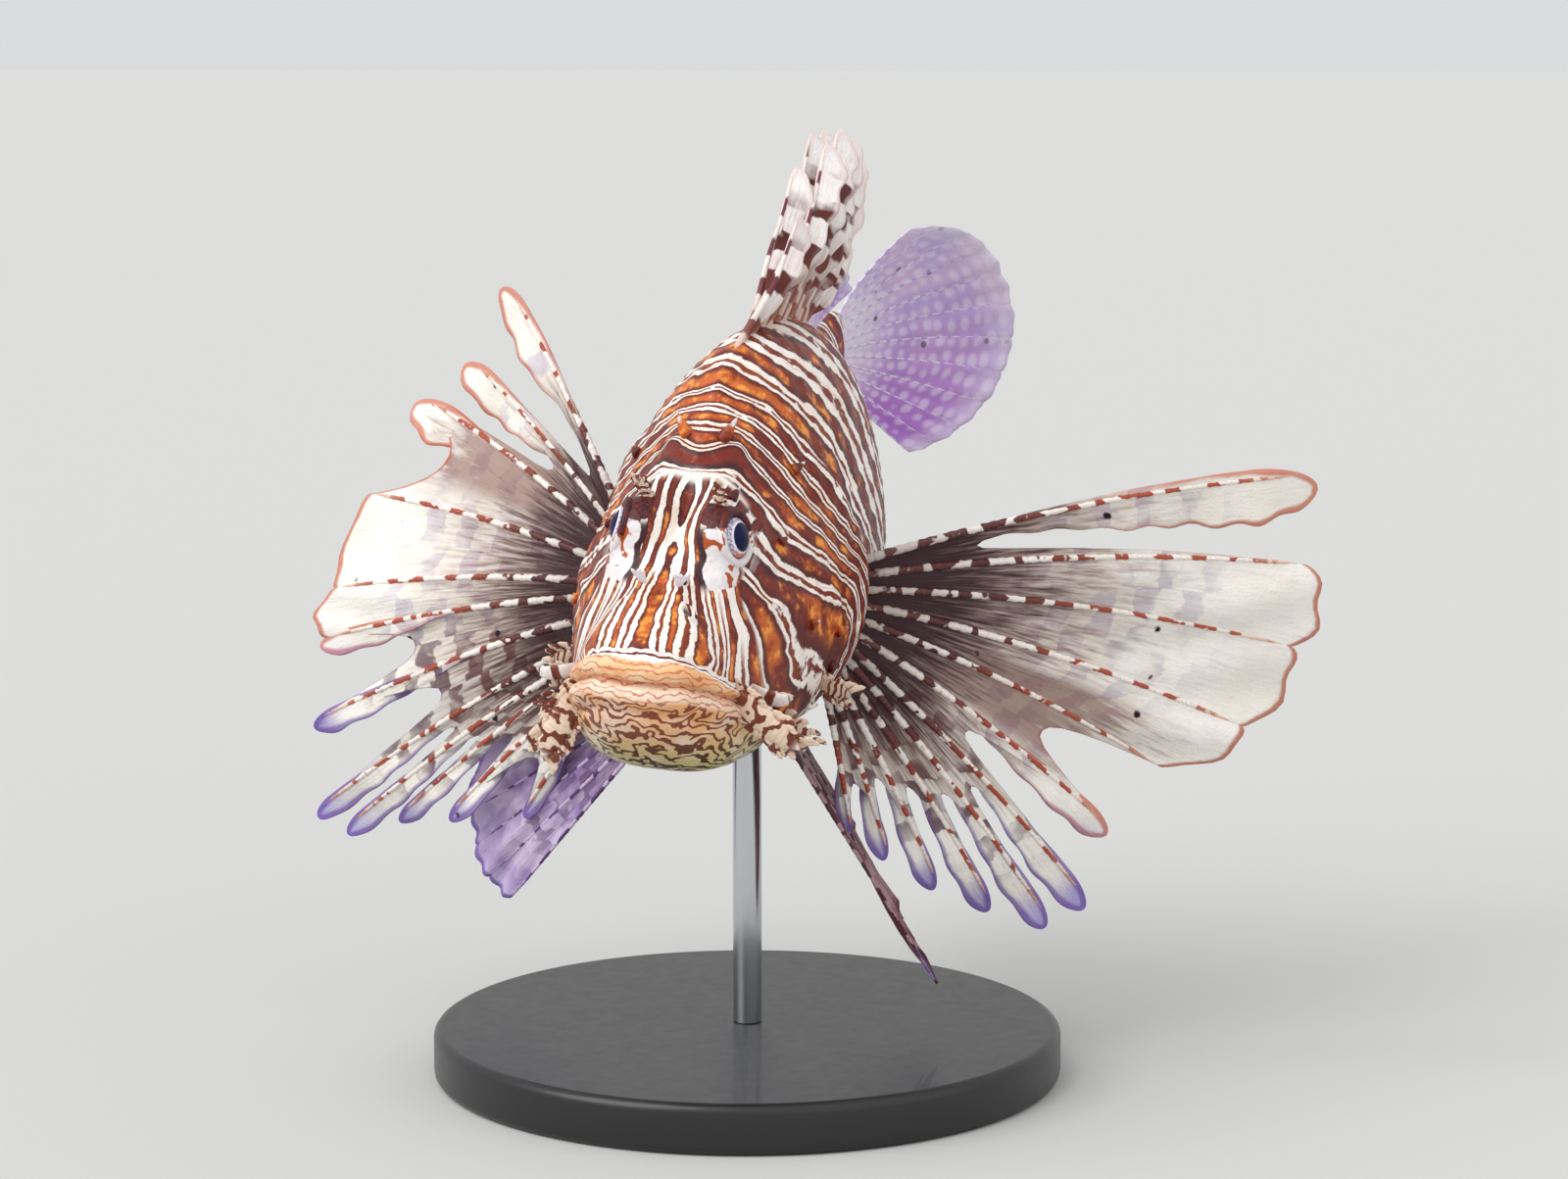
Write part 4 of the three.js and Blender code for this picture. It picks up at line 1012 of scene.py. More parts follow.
def eye_material():
    """Dark pupil in a pale ring, streaked iris, dark edge."""
    material, nodes, shader = new_material("eye")
    polar, turn = nodes.attribute("polar"), nodes.attribute("turn")
    rest = nodes.attribute("rest", True)
    place = nodes.add("ShaderNodeCombineXYZ")
    nodes.put(nodes.times(turn, 3.0), place.inputs[0])
    nodes.put(nodes.times(polar, 0.05), place.inputs[1])
    streaks = nodes.noise(place.outputs[0], 3.0, 3.0, 0.6)
    iris = nodes.ramp(streaks, IRIS)
    low = nodes.step(nodes.math("SINE", turn), 0.35, 0.95)
    iris = nodes.mix(nodes.times(low, 0.75), iris, IRIS_LOWER_EDGE)
    wobble = nodes.times(nodes.math("SUBTRACT", nodes.noise(rest, 0.8), 0.5), 2.0)
    polar = nodes.math("ADD", polar, wobble)
    pupil_rim = nodes.ramp(
        nodes.math("DIVIDE", polar, 90.0), ((0, 0), (0.35, 0), (0.37, 1), (0.4, 1), (0.42, 0))
    )
    base = nodes.mix(nodes.step(polar, 31.0, 33.0), PUPIL, iris)
    base = nodes.mix(nodes.times(pupil_rim, 0.8), base, PUPIL_RING)
    base = nodes.mix(nodes.step(polar, 46.0, 50.0), base, EYE_EDGE)
    nodes.put(base, shader.inputs["Base Color"])
    shader.inputs["Roughness"].default_value = 0.25
    shader.inputs["Specular IOR Level"].default_value = 0.12
    shader.inputs["Coat Weight"].default_value = 0.12
    shader.inputs["Coat Roughness"].default_value = 0.02
    bump(nodes, shader, streaks, 0.1)
    return material


def plain_material(name, colour, roughness, metallic=0.0, coat=0.0, speckle=0.0):
    """Lacquer, brushed metal or painted floor, with a faint unevenness."""
    material, nodes, shader = new_material(name)
    place = nodes.add("ShaderNodeTexCoord").outputs["Object"]
    cloud = nodes.noise(place, 60.0, 4.0, 0.6)
    nodes.put(
        nodes.mix(nodes.times(cloud, speckle), colour, tuple(c * 0.6 for c in colour)),
        shader.inputs["Base Color"]
    )
    nodes.put(
        nodes.math("MULTIPLY_ADD", nodes.noise(place, 300.0, 3.0), 0.12, roughness - 0.06),
        shader.inputs["Roughness"]
    )
    shader.inputs["Metallic"].default_value = metallic
    shader.inputs["Coat Weight"].default_value = coat
    return material


def colour(name, description, code):
    return bpy.props.FloatVectorProperty(
        name=name, description=description, default=tint(code), subtype="COLOR", size=3, min=0, max=1
    )


class LionfishColours(bpy.types.PropertyGroup):
    cream: colour("Cream", "Ground between the bars", "f4e6da")
    white: colour("White", "Lightest ground", "fdf8f4")
    red_brown: colour("Red brown", "Bars of head and body", "741c08")
    orange: colour("Orange", "Glow inside the wide bars", "c65c1a")
    amber: colour("Amber", "Brightest flecks of the glow", "ee9a3c")
    tan: colour("Tan", "Faint thin lines", "c98a5c")
    maroon: colour("Maroon", "Dark edges of the bars", "340a12")
    brown: colour("Brown", "Thin lines of the chin", "42200e")
    peach: colour("Peach", "Ground of the lips", "f8d3ae")
    apricot: colour("Apricot", "Warmer patches of the lips", "f0b27a")
    moss: colour("Moss", "Ground of the throat", "cdbf86")
    bone: colour("Bone", "Pale bulge under each eye", "d6d0d2")
    lilac: colour("Lilac", "Membrane of the rear fins", "c2aee0")
    pink: colour("Pink", "Warmer clouds of the rear fins", "ddbfe0")
    magenta: colour("Magenta", "Lower edges of the rear fins", "a762c4")
    smoke: colour("Smoke", "Membrane of the breast fins", "f3ede2")
    dusk: colour("Dusk", "Clouds and bands of the breast fins", "a797b8")
    plum: colour("Plum", "Roots of the breast fins", "2e1018")
    rust: colour("Rust", "Margins and rings of the breast fins", "c25a34")


class LionfishSizes(bpy.types.PropertyGroup):
    skin_rings: bpy.props.IntProperty(
        name="Skin rings", description="Rings from lip to tail", default=330, min=60, max=400
    )
    skin_segments: bpy.props.IntProperty(
        name="Skin segments", description="Points round each ring", default=280, min=60, max=320
    )
    membrane: bpy.props.FloatProperty(
        name="Membrane", description="Thickness of a fin's membrane, in millimetres",
        default=0.4, min=0.1, max=2,
    )
    ray_root: bpy.props.FloatProperty(
        name="Ray root", description="Half thickness of a breast fin ray at its root, in millimetres",
        default=1.2, min=0.2, max=3
    )
    ray_tip: bpy.props.FloatProperty(
        name="Ray tip", description="Half thickness of a breast fin ray at its tip, in millimetres",
        default=0.5, min=0.1, max=2
    )


class LionfishStage(bpy.types.PropertyGroup):
    floor: bpy.props.FloatProperty(
        name="Floor", description="Width of the floor", default=90.0, unit="LENGTH", min=1
    )
    key_power: bpy.props.FloatProperty(
        name="Key light", description="Strength of the main light, in watts per square metre",
        default=2.1, min=0,
    )
    fill_power: bpy.props.FloatProperty(
        name="Fill light", description="Strength of the side light, in watts per square metre",
        default=0.6, min=0,
    )
    sky: bpy.props.FloatProperty(
        name="Room light", description="Strength of the even light from all round", default=0.72, min=0
    )
    lens: bpy.props.FloatProperty(
        name="Lens", description="Focal length of the camera, in millimetres",
        default=88.04, min=10, max=300,
    )
    camera_at: bpy.props.FloatVectorProperty(
        name="Camera", description="Place of the camera", default=(0.23148, -0.87869, 0.24561),
        subtype="TRANSLATION", size=3
    )
    camera_way: bpy.props.FloatVectorProperty(
        name="Camera direction", description="Where the camera looks", default=(-0.2429, 0.96, -0.1392),
        subtype="DIRECTION", size=3
    )


class LIONFISH_OT_stage(bpy.types.Operator):
    """Floor, soft studio light, world and camera."""

    bl_idname = "lionfish.stage"
    bl_label = "Stage"

    def execute(self, context):
        settings = context.scene.lionfish_stage
        bm = bmesh.new()
        bmesh.ops.create_grid(bm, x_segments=1, y_segments=1, size=settings.floor / 2)
        floor = new_object(bm, "floor", plain_material("pale floor", tint("c6c6c4"), 0.9))
        for name, power, spread_angle, way in (
            ("key_light", settings.key_power, 50, (0.62, 0.68, -0.9)),
            ("fill_light", settings.fill_power, 90, (-0.8, 0.5, -0.45)),
        ):
            lamp = bpy.data.lights.new(name, "SUN")
            lamp.energy = power
            lamp.angle = math.radians(spread_angle)
            light = bpy.data.objects.new(name, lamp)
            light.location = (0, 0, 2)
            light.rotation_mode = "QUATERNION"
            light.rotation_quaternion = Vector(way).to_track_quat("-Z", "Y")
            context.scene.collection.objects.link(light)
        world = bpy.data.worlds.new("soft studio")
        world.use_nodes = True
        background = world.node_tree.nodes["Background"]
        background.inputs["Color"].default_value = (0.98, 0.99, 1.0, 1)
        background.inputs["Strength"].default_value = settings.sky
        context.scene.world = world
        lens = bpy.data.cameras.new("camera")
        lens.lens = settings.lens
        lens.sensor_width = 36
        lens.clip_start, lens.clip_end = 0.01, 50
        camera = bpy.data.objects.new("camera", lens)
        camera.location = settings.camera_at
        camera.rotation_mode = "QUATERNION"
        camera.rotation_quaternion = Vector(settings.camera_way).to_track_quat("-Z", "Y")
        context.scene.collection.objects.link(camera)
        context.scene.camera = camera
        context.scene.view_settings.view_transform = "Standard"
        return {"FINISHED"}


class LIONFISH_OT_stand(bpy.types.Operator):
    """Round lacquered base and polished rod."""

    bl_idname = "lionfish.stand"
    bl_label = "Stand"

    def execute(self, context):
        for name, radius, low, high, segments, soft, material in (
            (
                "display_base", BASE_RADIUS, 0.0, BASE_HEIGHT, 160, 2.2,
                plain_material("dark lacquer", tint("151417"), 0.4, coat=0.15, speckle=0.3)
            ),
            (
                "display_rod", ROD_RADIUS, BASE_HEIGHT, BASE_HEIGHT + BELLY_OVER_BASE + 2, 40, 0.3,
                plain_material("polished steel", tint("c9cbd0"), 0.22, metallic=1.0)
            ),
        ):
            bm = bmesh.new()
            bmesh.ops.create_cone(
                bm, cap_ends=True, segments=segments, radius1=radius * MM, radius2=radius * MM,
                depth=(high - low) * MM, matrix=Matrix.Translation((0, 0, (high + low) / 2 * MM)),
            )
            rims = [e for e in bm.edges if abs(e.verts[0].co.z - e.verts[1].co.z) < 1e-7]
            bmesh.ops.bevel(
                bm, geom=rims, offset=soft * MM, affect="EDGES", segments=4, profile=0.5, material=-1
            )
            for face in bm.faces:
                face.smooth = abs(face.normal.z) < 0.999
            piece = new_object(bm, name, material)
            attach(piece, "root")
            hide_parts("stand_base" if "base" in name else "stand_rod")
        return {"FINISHED"}


class LIONFISH_OT_skin(bpy.types.Operator):
    """One skin over head, jaw, trunk and tail, with its lips, lids, gill cover and head spines."""

    bl_idname = "lionfish.skin"
    bl_label = "Skin"

    def execute(self, context):
        sizes = context.scene.lionfish_sizes
        material = skin_material(context.scene.lionfish_colours)
        bm = new_bmesh(
            "flow", "snout", "nose", "lined", "edge", "gap", "width", "warmth", "chin", "lip", "mouth",
            "low", "pale", "bag", "bag_line", "brow", "pit",
        )
        rings, segments = sizes.skin_rings, sizes.skin_segments
        verts = bmesh.ops.create_uvsphere(bm, u_segments=segments, v_segments=rings, radius=1)["verts"]
        co = np.array([v.co for v in verts])
        share = np.arccos(np.clip(co[:, 2], -1, 1)) / math.pi
        angle = np.arctan2(co[:, 1], co[:, 0])
        s = SNOUT + (share * math.sqrt(TAIL_ROOT - SNOUT)) ** 2
        points = taper_tail(socket(skin(s, angle)))
        set_points(bm, verts, bend(points), markings(points))
        for side in (1, -1):
            lid(bm, side)
            for plan in HEAD_SPINES:
                head_spine(bm, side, *plan)
        finish_piece(bm, "skin", material, ("head", "lower_jaw", "torso", "tail"))
        return {"FINISHED"}


# Spines on each side of the head: place from the lip, height, length, radius, how far they lean back
HEAD_SPINES = (
    (54, 34, 4.6, 1.7, 0.5),
    (41, 24, 2.6, 1.4, 0.9),
    (64, 25, 2.6, 1.4, 1),
    (47, 13, 1.8, 1.2, 1.2),
    (48, -6, 2, 1.3, 1.2),
    (60, -11, 2.6, 1.4, 1.4),
    (58, -19, 2.8, 1.4, 1.2),
    (53, -27, 2.8, 1.4, 0.9),
)
# Small leaves at each nostril: place from the lip, height, length
NOSE_LEAVES = (18, 9.6, 2.4)
# Lobe at each corner of the mouth: points along its middle
JAW_LOBE = ((18.5, 23, -12.5), (23, 21.5, -14), (26.5, 21.5, -14.8), (29.5, 22.5, -14.4))
# Leaves of skin along the jaw: place from the lip, height, length, width, rise
HEAD_LEAVES = ((38, -25, 7, 4, -0.3), (54, -22, 7, 4, 0.1), (24, -16, 4.5, 3, 0))


def socket(points):
    """Skin inside each eye's opening sinks behind the eyeball."""
    for side in (1, -1):
        centre, look = EYE_AT * (side, 1, 1), EYE_LOOK * (side, 1, 1)
        out = points - centre
        reach = np.linalg.norm(out, axis=1)
        polar = np.degrees(np.arccos(np.clip(out @ look / np.maximum(reach, 1e-6), -1, 1)))
        edge = math.degrees(math.asin(LID_OPENING / EYE_RADIUS))
        inside = (polar < edge + 4) & (reach < 12)
        points[inside] = centre + out[inside] / reach[inside][:, None] * (EYE_RADIUS * 0.8)
    return points


def taper_tail(points):
    """The last of the tail narrows to a wedge that meets the tail fin."""
    end = np.clip((points[:, 1] - (TAIL_ROOT - TAIL_TAPER)) / TAIL_TAPER, 0, 1) ** 2
    middle = outline("mid", TAIL_ROOT)
    points[:, 0] *= 1 - 0.85 * end
    points[:, 2] = middle + (points[:, 2] - middle) * (1 - 0.26 * end)
    return points


def lip_top(s):
    """How high the upper lip reaches above the mouth line: high in the middle, low at the corners."""
    return 5.6 - 3.9 * smooth(s, 0, MOUTH_CORNER - 3)


def markings(p):
    """Where each marking lies: the phase of the bars, and how much a place belongs to chin, lip or eye."""
    side, s, z = np.abs(p[:, 0]), p[:, 1], p[:, 2]
    above = z - mouth_height(s)
    front = 1 - smooth(s, MOUTH_CORNER - 2, MOUTH_CORNER + 5)
    to_eye = np.linalg.norm(np.stack([side, s, z], 1) - EYE_AT, axis=1)
    below = smooth(-above, 0.5, 2.0) * (1 - smooth(s, 26, 34))
    under = smooth(-z, 27, 33) * (1 - smooth(s, 50, 90))
    inner_edge = 7.6 + 0.22 * np.maximum(17 - z, 0) + 0.5 * np.sin(z * 0.9)
    bag = np.minimum.reduce([side - inner_edge, 14.7 - side, z - 9, 20.8 - z, 32.2 - s])
    bag_line = smooth(z, 8, 10) * (1 - smooth(z, 20, 22)) * (1 - smooth(s, 30, 33))
    bag_line *= 1 - smooth(side, 10.5, 11.5)
    brow = smooth(side, 5.2, 6.2) * (1 - smooth(side, 12.5, 14)) * smooth(z, 20.8, 21.8)
    brow = brow * (1 - smooth(z, 25, 26.5)) * (1 - smooth(s, 33, 36))
    eye_rim = (1 - smooth(to_eye, 6.9, 7.7)) * (1 - smooth(s, 31, 33))
    # Painted shade in the opening of each nostril
    pit_shade = np.zeros_like(s)
    for place in NOSTRILS:
        off = np.linalg.norm(np.stack([side, s, z], 1) - place, axis=1)
        pit_shade = np.maximum(pit_shade, 1 - smooth(off, 0.8, 1.3))
    flow, width, warmth = spread(BAR_MIDDLES, p)
    snout, snout_width, snout_warmth = spread(SNOUT_MIDDLES, p)
    nose = smooth(SNOUT_BARS_END - s, 0, 0.8) * smooth(5.3 - snout, 0, 0.2)
    gap = hump(s, SNOUT_BARS_END, 0.9) * smooth(z, 16, 20) * smooth(4.4 - snout, 0, 0.5)
    return {
        "rest": p,
        "flow": flow,
        "snout": snout,
        "nose": nose,
        "lined": 1 - nose * smooth(s, 19, 23),
        "edge": np.where(s < MOUTH_CORNER + 2, above - lip_top(s), 9),
        "gap": gap,
        "width": width * (1 - nose) + (snout_width - 0.06 - 0.08 * smooth(22 - s, 0, 4)) * nose,
        "warmth": warmth * (1 - nose) + snout_warmth * nose,
        "chin": np.clip(below + under, 0, 1),
        "lip": front * smooth(above, -4.2, -3) * (1 - smooth(above - lip_top(s), -0.5, 0.5)),
        "mouth": above,
        "low": smooth(-z, 14, 30),
        "pale": eye_rim * smooth(20 - z, 0, 2) * (1 - brow),
        "bag": np.clip(bag, -BAG_REACH, BAG_REACH),
        "bag_line": bag_line,
        "brow": brow,
        "pit": pit_shade,
    }


# Middles of the bars on trunk and cheek: x, y, z, number of the bar, half its width, warmth of its colour
BAR_MIDDLES = (
    (4, 92, 47, 12, 0.16, 0.3), (17, 110, 32, 12, 0.16, 0.3), (26, 111, 7, 12, 0.18, 0.2),
    (5, 78, 47, 11, 0.17, 0.6), (16, 88, 36, 11, 0.16, 0.5), (24, 94, 19, 11, 0.16, 0.2),
    (29, 99, 2, 11, 0.16, 0.1), (4, 66, 42, 10, 0.32, 1), (14, 72, 36, 10, 0.35, 1),
    (23, 82, 22, 10, 0.3, 0.5), (28, 82, 10, 10, 0.3, 0), (30, 91, -3, 10, 0.28, 0),
    (20, 95, -30, 10, 0.28, 0.4), (0, 92, -38, 9.5, 0.28, 0.4), (15, 66, 32, 9, 0.22, 0.5),
    (20, 68, 26, 9, 0.22, 0.4), (25, 72, 17, 9, 0.2, 0.3), (0, 57, 37, 8, 0.25, 0.9),
    (9, 60, 35, 8, 0.27, 0.7), (16, 62, 28, 8, 0.3, 0.4), (0, 51, 34, 7, 0.22, 1),
    (9, 56, 32, 7, 0.28, 0.6), (15, 58, 26, 7, 0.28, 0.5), (0, 47, 30, 6, 0.33, 0), (7, 53, 31, 6, 0.36, 0),
    (14, 52, 23, 6, 0.36, 0.4), (19, 54, 18, 6, 0.34, 1), (26, 63, 8, 6, 0.3, 0.9),
    (31, 77, -3, 6, 0.25, 0.8), (0, 42, 26, 5, 0.33, 0), (8, 40, 25, 5, 0.25, 0.1),
    (14, 45, 21, 5, 0.16, 0.2), (20, 45, 12, 5, 0.17, 0.4), (23, 51, 8, 5, 0.2, 0.6),
    (28, 59, 2, 5, 0.21, 0.6), (32, 75, -10, 5, 0.2, 0.5), (18, 32, 13, 4, 0.2, 0),
    (20, 34, 8, 4, 0.28, 0.2), (23, 41, 3, 4, 0.34, 0.6), (26, 48, -2, 4, 0.36, 0.8),
    (30, 55, -7, 4, 0.38, 0.8), (31, 70, -14, 4, 0.38, 0.5), (22, 60, -30, 4, 0.35, 0.4),
    (0, 60, -38, 4.4, 0.3, 0.4), (24.5, 38, -4, 3.5, 0.36, 0.8), (25, 37.5, -9, 3.5, 0.34, 0.8),
    (25.5, 39, -16, 3.5, 0.32, 0.5), (17, 28, 7, 3, 0.25, 0.3), (20, 29, 2, 3, 0.3, 0.8),
    (22.4, 31.5, -4, 3, 0.36, 1), (23, 31.5, -10, 3, 0.36, 1), (23.8, 32.5, -16, 3, 0.34, 0.6),
    (16, 26, 4, 2.5, 0.25, 0.5), (20, 25, -6, 2.5, 0.25, 0.6), (21, 25, -11, 2.5, 0.25, 0.5),
    (18, 112, -28, 11.6, 0.25, 0.4), (0, 128, 42, 13.2, 0.28, 0.5), (25, 124, 0, 13, 0.28, 0.4),
    (0, 126, -34, 13, 0.25, 0.4), (0, 150, 34, 14.9, 0.28, 0.5), (18, 150, 2, 14.9, 0.28, 0.4),
    (0, 150, -27, 14.9, 0.28, 0.4), (0, 190, 23, 18, 0.28, 0.5), (8.5, 190, 8, 18, 0.28, 0.4),
    (0, 190, -8, 18, 0.28, 0.4), (3, 228, 10, 21, 0.28, 0.4),
)
# The same for the stripes that run down the snout between the eyes
SNOUT_MIDDLES = (
    (0, 39, 23, 0, 0.3, 0), (0, 28, 16, 0, 0.2, 0.4), (0, 20, 11, 0, 0.24, 0.6), (0, 10, 6, 0, 0.28, 0.7),
    (0, 2, 2, 0, 0.28, 0.7), (2.5, 28, 17, 1, 0.22, 0.9), (4, 20, 11, 1, 0.22, 0.9),
    (6, 12, 6, 1, 0.24, 0.9), (6, 5, 3, 1, 0.24, 1), (5.5, 29, 19, 2, 0.28, 0), (7, 23, 12, 2, 0.3, 0),
    (9, 18, 6, 2, 0.32, 0.2), (11, 14, 3, 2, 0.35, 0.8), (14, 10, -3, 2, 0.36, 1),
    (9.5, 24, 11, 3, 0.16, 0.8), (11, 21, 7.5, 3, 0.18, 0.8), (13, 18, 3, 3, 0.2, 0.9),
    (15, 15, -2, 3, 0.24, 1), (12, 26, 9, 4, 0.2, 0.7), (14, 23, 5, 4, 0.24, 0.8), (16, 19, -2, 4, 0.34, 1),
    (17, 14, -7, 4, 0.34, 1), (16, 26, 4, 5, 0.22, 0.7), (19, 25, -1, 5, 0.24, 0.8),
    (20, 25, -6, 5, 0.26, 0.8), (21, 25, -11, 5, 0.28, 0.6), (20, 29, 2, 6, 0.34, 0.8),
    (22.4, 31.5, -4, 6, 0.36, 1), (23.8, 32.5, -16, 6, 0.34, 0.6), (7, 36, 23, 2.4, 0.3, 0),
)


def spread(middles, p):
    """Number, half width and warmth of the bars at any place, from the places where they are known."""
    table = np.array(middles, float)

    def soften(q):
        return np.stack([np.sqrt(q[:, 0] ** 2 + 4), q[:, 1], q[:, 2], np.ones(len(q))], 1)

    known, asked = soften(table), soften(p)
    apart = np.linalg.norm(known[:, None] - known[None], axis=2)
    count = len(table)
    system = np.zeros((count + 4, count + 4))
    system[:count, :count] = apart - np.eye(count) * 0.4
    system[:count, count:] = known
    system[count:, :count] = known.T
    goal = np.zeros((count + 4, 3))
    goal[:count] = table[:, 3:]
    weights = np.linalg.solve(system, goal)
    out = np.empty((len(p), 3))
    for start in range(0, len(p), 20000):
        part = asked[start : start + 20000]
        far = np.linalg.norm(part[:, None] - known[None], axis=2)
        out[start : start + 20000] = far @ weights[:count] + part @ weights[count:]
    return out.T


def lid(bm, side):
    """The fleshy rim of the orbit."""
    centre, look, up, across = eye_axes(side)

    def place(u, w):
        a, b = u * 2 * math.pi, w * 2 * math.pi
        radius = LID_OPENING + 0.95 + 1.0 * np.cos(b)
        height = 3.7 + 1.0 * np.sin(b)
        way = across * np.cos(a)[:, None] + up * np.sin(a)[:, None]
        p = centre + way * radius[:, None] + look * height[:, None]
        values = markings(p)
        values["brow"] = smooth(np.sin(a) - 0.3 * np.cos(a), 0.1, 0.5)
        values["pale"] = 1 - values["brow"]
        values["bag"] = np.full_like(values["bag"], -BAG_REACH)
        return bend(p), values

    sheet(bm, 72, 14, place)


def head_spine(bm, side, s, z, length, radius, back):
    """A short hooked spine that stands on the skin."""
    at, out = skin_at(side, s, z)
    away = unit(out + np.array([0, back, 0]))
    flat = unit(np.cross(away, [0, 0, 1.0]))
    up = np.cross(flat, away)

    def place(u, w):
        a = u * 2 * math.pi
        grow = (w - 0.25) / 0.75
        r = radius * (1 - np.clip(grow, 0, 1)) ** 0.8 * np.where(w > 0.999, 0, 1)
        r = np.where(w < 0.001, 0, r)
        hook = np.array([0, 0.2, 0.15]) * length * np.clip(grow, 0, 1)[:, None] ** 2
        p = at + away * (grow * length)[:, None] + hook
        p = p + flat * (r * np.cos(a))[:, None] + up * (r * np.sin(a))[:, None]
        values = markings(np.repeat(at[None], len(u), 0))
        values["rest"] = p
        values["pale"] = np.clip(grow, 0, 1) * 0.7
        values["bag"] = np.full_like(values["bag"], -BAG_REACH)
        return bend(p), values

    sheet(bm, 14, 12, place)


class LIONFISH_OT_eyes(bpy.types.Operator):
    """Both eyeballs."""

    bl_idname = "lionfish.eyes"
    bl_label = "Eyes"

    def execute(self, context):
        material = eye_material()
        for word, side in (("left", 1), ("right", -1)):
            centre, look, up, across = eye_axes(side)
            bm = new_bmesh("polar", "turn")
            verts = bmesh.ops.create_uvsphere(bm, u_segments=64, v_segments=48, radius=1)["verts"]
            co = np.array([v.co for v in verts])
            polar = np.arccos(np.clip(co[:, 2], -1, 1))
            radius = EYE_RADIUS * (1 + 0.05 * hump(np.degrees(polar), 0, 32))
            p = co[:, :1] * across + co[:, 1:2] * up + co[:, 2:3] * look
            p = centre + p * radius[:, None]
            turn = np.abs(np.arctan2(co[:, 0], co[:, 1])) - math.pi / 2
            set_points(bm, verts, bend(p), {"polar": np.degrees(polar), "turn": turn})
            eye = finish_piece(bm, f"eyeball_{word}", material, (f"eye_{word}",))
        return {"FINISHED"}


# A fin's finish: half thickness of a ray at root and tip, thickness of the web, height and spacing of the
# beads on a ray, how steep the notches are, how far a full web bulges past its rays, its billow and
# ripple, then a free blade's scallops, width at its start, roundness, part behind the ray, twist in
# degrees and reach past the ray, and last the grid of each web
PECTORAL_LOOK = {
    "ray": (0.95, 0.4), "web": 0.4, "beads": 0.1, "bead_pitch": 2.6, "sharp": 2.6, "bulge": 0.05,
    "billow": 0.07, "ripple": 1.1, "scallop": 0.06, "broad": 0.35, "round": 0.9, "back": 0.22, "twist": 0,
    "past": 0.3, "columns": 14, "rows": 46,
}
SPINE_LOOK = {
    "ray": (1.1, 0.35), "web": 0.45, "beads": 0.0, "bead_pitch": 4.0, "sharp": 2.2, "bulge": 0.0,
    "billow": 0.04, "ripple": 0.5, "scallop": 0.1, "broad": 0.7, "round": 0.2, "back": 0.1, "twist": 48,
    "past": 0, "columns": 10, "rows": 24,
}
REAR_LOOK = {
    "ray": (0.5, 0.2), "web": 0.35, "beads": 0.08, "bead_pitch": 1.8, "sharp": 2.0, "bulge": 0.018,
    "billow": 0.03, "ripple": 0.6, "scallop": 0.0, "broad": 1, "round": 0, "back": 0, "twist": 0, "past": 0,
    "columns": 12, "rows": 40,
}
PELVIC_LOOK = {
    "ray": (0.8, 0.3), "web": 0.4, "beads": 0.1, "bead_pitch": 2.4, "sharp": 3.0, "bulge": 0.02,
    "billow": 0.1, "ripple": 1.2, "scallop": 0.0, "broad": 1, "round": 0, "back": 0, "twist": 0, "past": 0,
    "columns": 14, "rows": 44,
}


class LIONFISH_OT_breast_fins(bpy.types.Operator):
    """Both spread breast fins, each of twelve rays with notched webs."""

    bl_idname = "lionfish.breast_fins"
    bl_label = "Breast fins"

    def execute(self, context):
        colours = context.scene.lionfish_colours
        sizes = context.scene.lionfish_sizes
        look = dict(PECTORAL_LOOK, ray=(sizes.ray_root, sizes.ray_tip), web=sizes.membrane)
        rays = ray_material(
            "breast fin rays", tint("f8efe6"), tint("4a1a18"), tint("5a2a24"), tint("d8a48c"), pitch=9.0,
            share=0.45, wander=1.6, outer=tint("a8452c"),
        )
        for word, side, shaded in (("left", 1, (3.2, 5.2)), ("right", -1, (1.2, 3.0))):
            webs = membrane_material(
                f"breast fin membrane {word}", colours.smoke, tint("f7f2ea"), colours.plum, colours.dusk,
                colours.rust, tint("7d6ec4"), rate=0.09, share=0.45, strength=0.45, spots=0.095, clear=0.93,
                deepest=0.22, tip_from=4.8, low_rim=tint("6a4a9c"), middle=tint("80503f"), wander=0.8,
                shaded=shaded, low_bands=0.45,
            )
            for piece in rays_and_webs(
                f"pectoral_fin_{word}", lambda i, t, side=side: pectoral_ray(side, i, t), PECTORALS[side],
                (rays, webs), look,
            ):
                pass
        return {"FINISHED"}


class LIONFISH_OT_belly_fins(bpy.types.Operator):
    """Both belly fins, the right one spread and the left one folded."""

    bl_idname = "lionfish.belly_fins"
    bl_label = "Belly fins"

    def execute(self, context):
        colours = context.scene.lionfish_colours
        for word, side, ground, cloud, band, rim in (
            ("left", 1, "7c4450", "b08a94", "4a1c28", "5c2c3c"),
            ("right", -1, "9c82b4", "cbb8d6", "57366c", "7a5ab0"),
        ):
            rays = ray_material(
                f"belly fin rays {word}", tint(cloud), tint(band), colours.plum, tint("8a6ac0"),
                pitch=8.0, share=0.5, wander=1.6,
            )
            webs = membrane_material(
                f"belly fin membrane {word}", tint(ground), tint(cloud), tint("4c2030"), tint(band),
                tint(rim), tint("c8b8dc"), rate=0.1, share=0.5, strength=0.6, spots=0.13, clear=0.92,
            )
            for piece in rays_and_webs(
                f"pelvic_fin_{word}", lambda i, t, side=side: pelvic_ray(side, i, t), PELVICS[side],
                (rays, webs), PELVIC_LOOK,
            ):
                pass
        return {"FINISHED"}


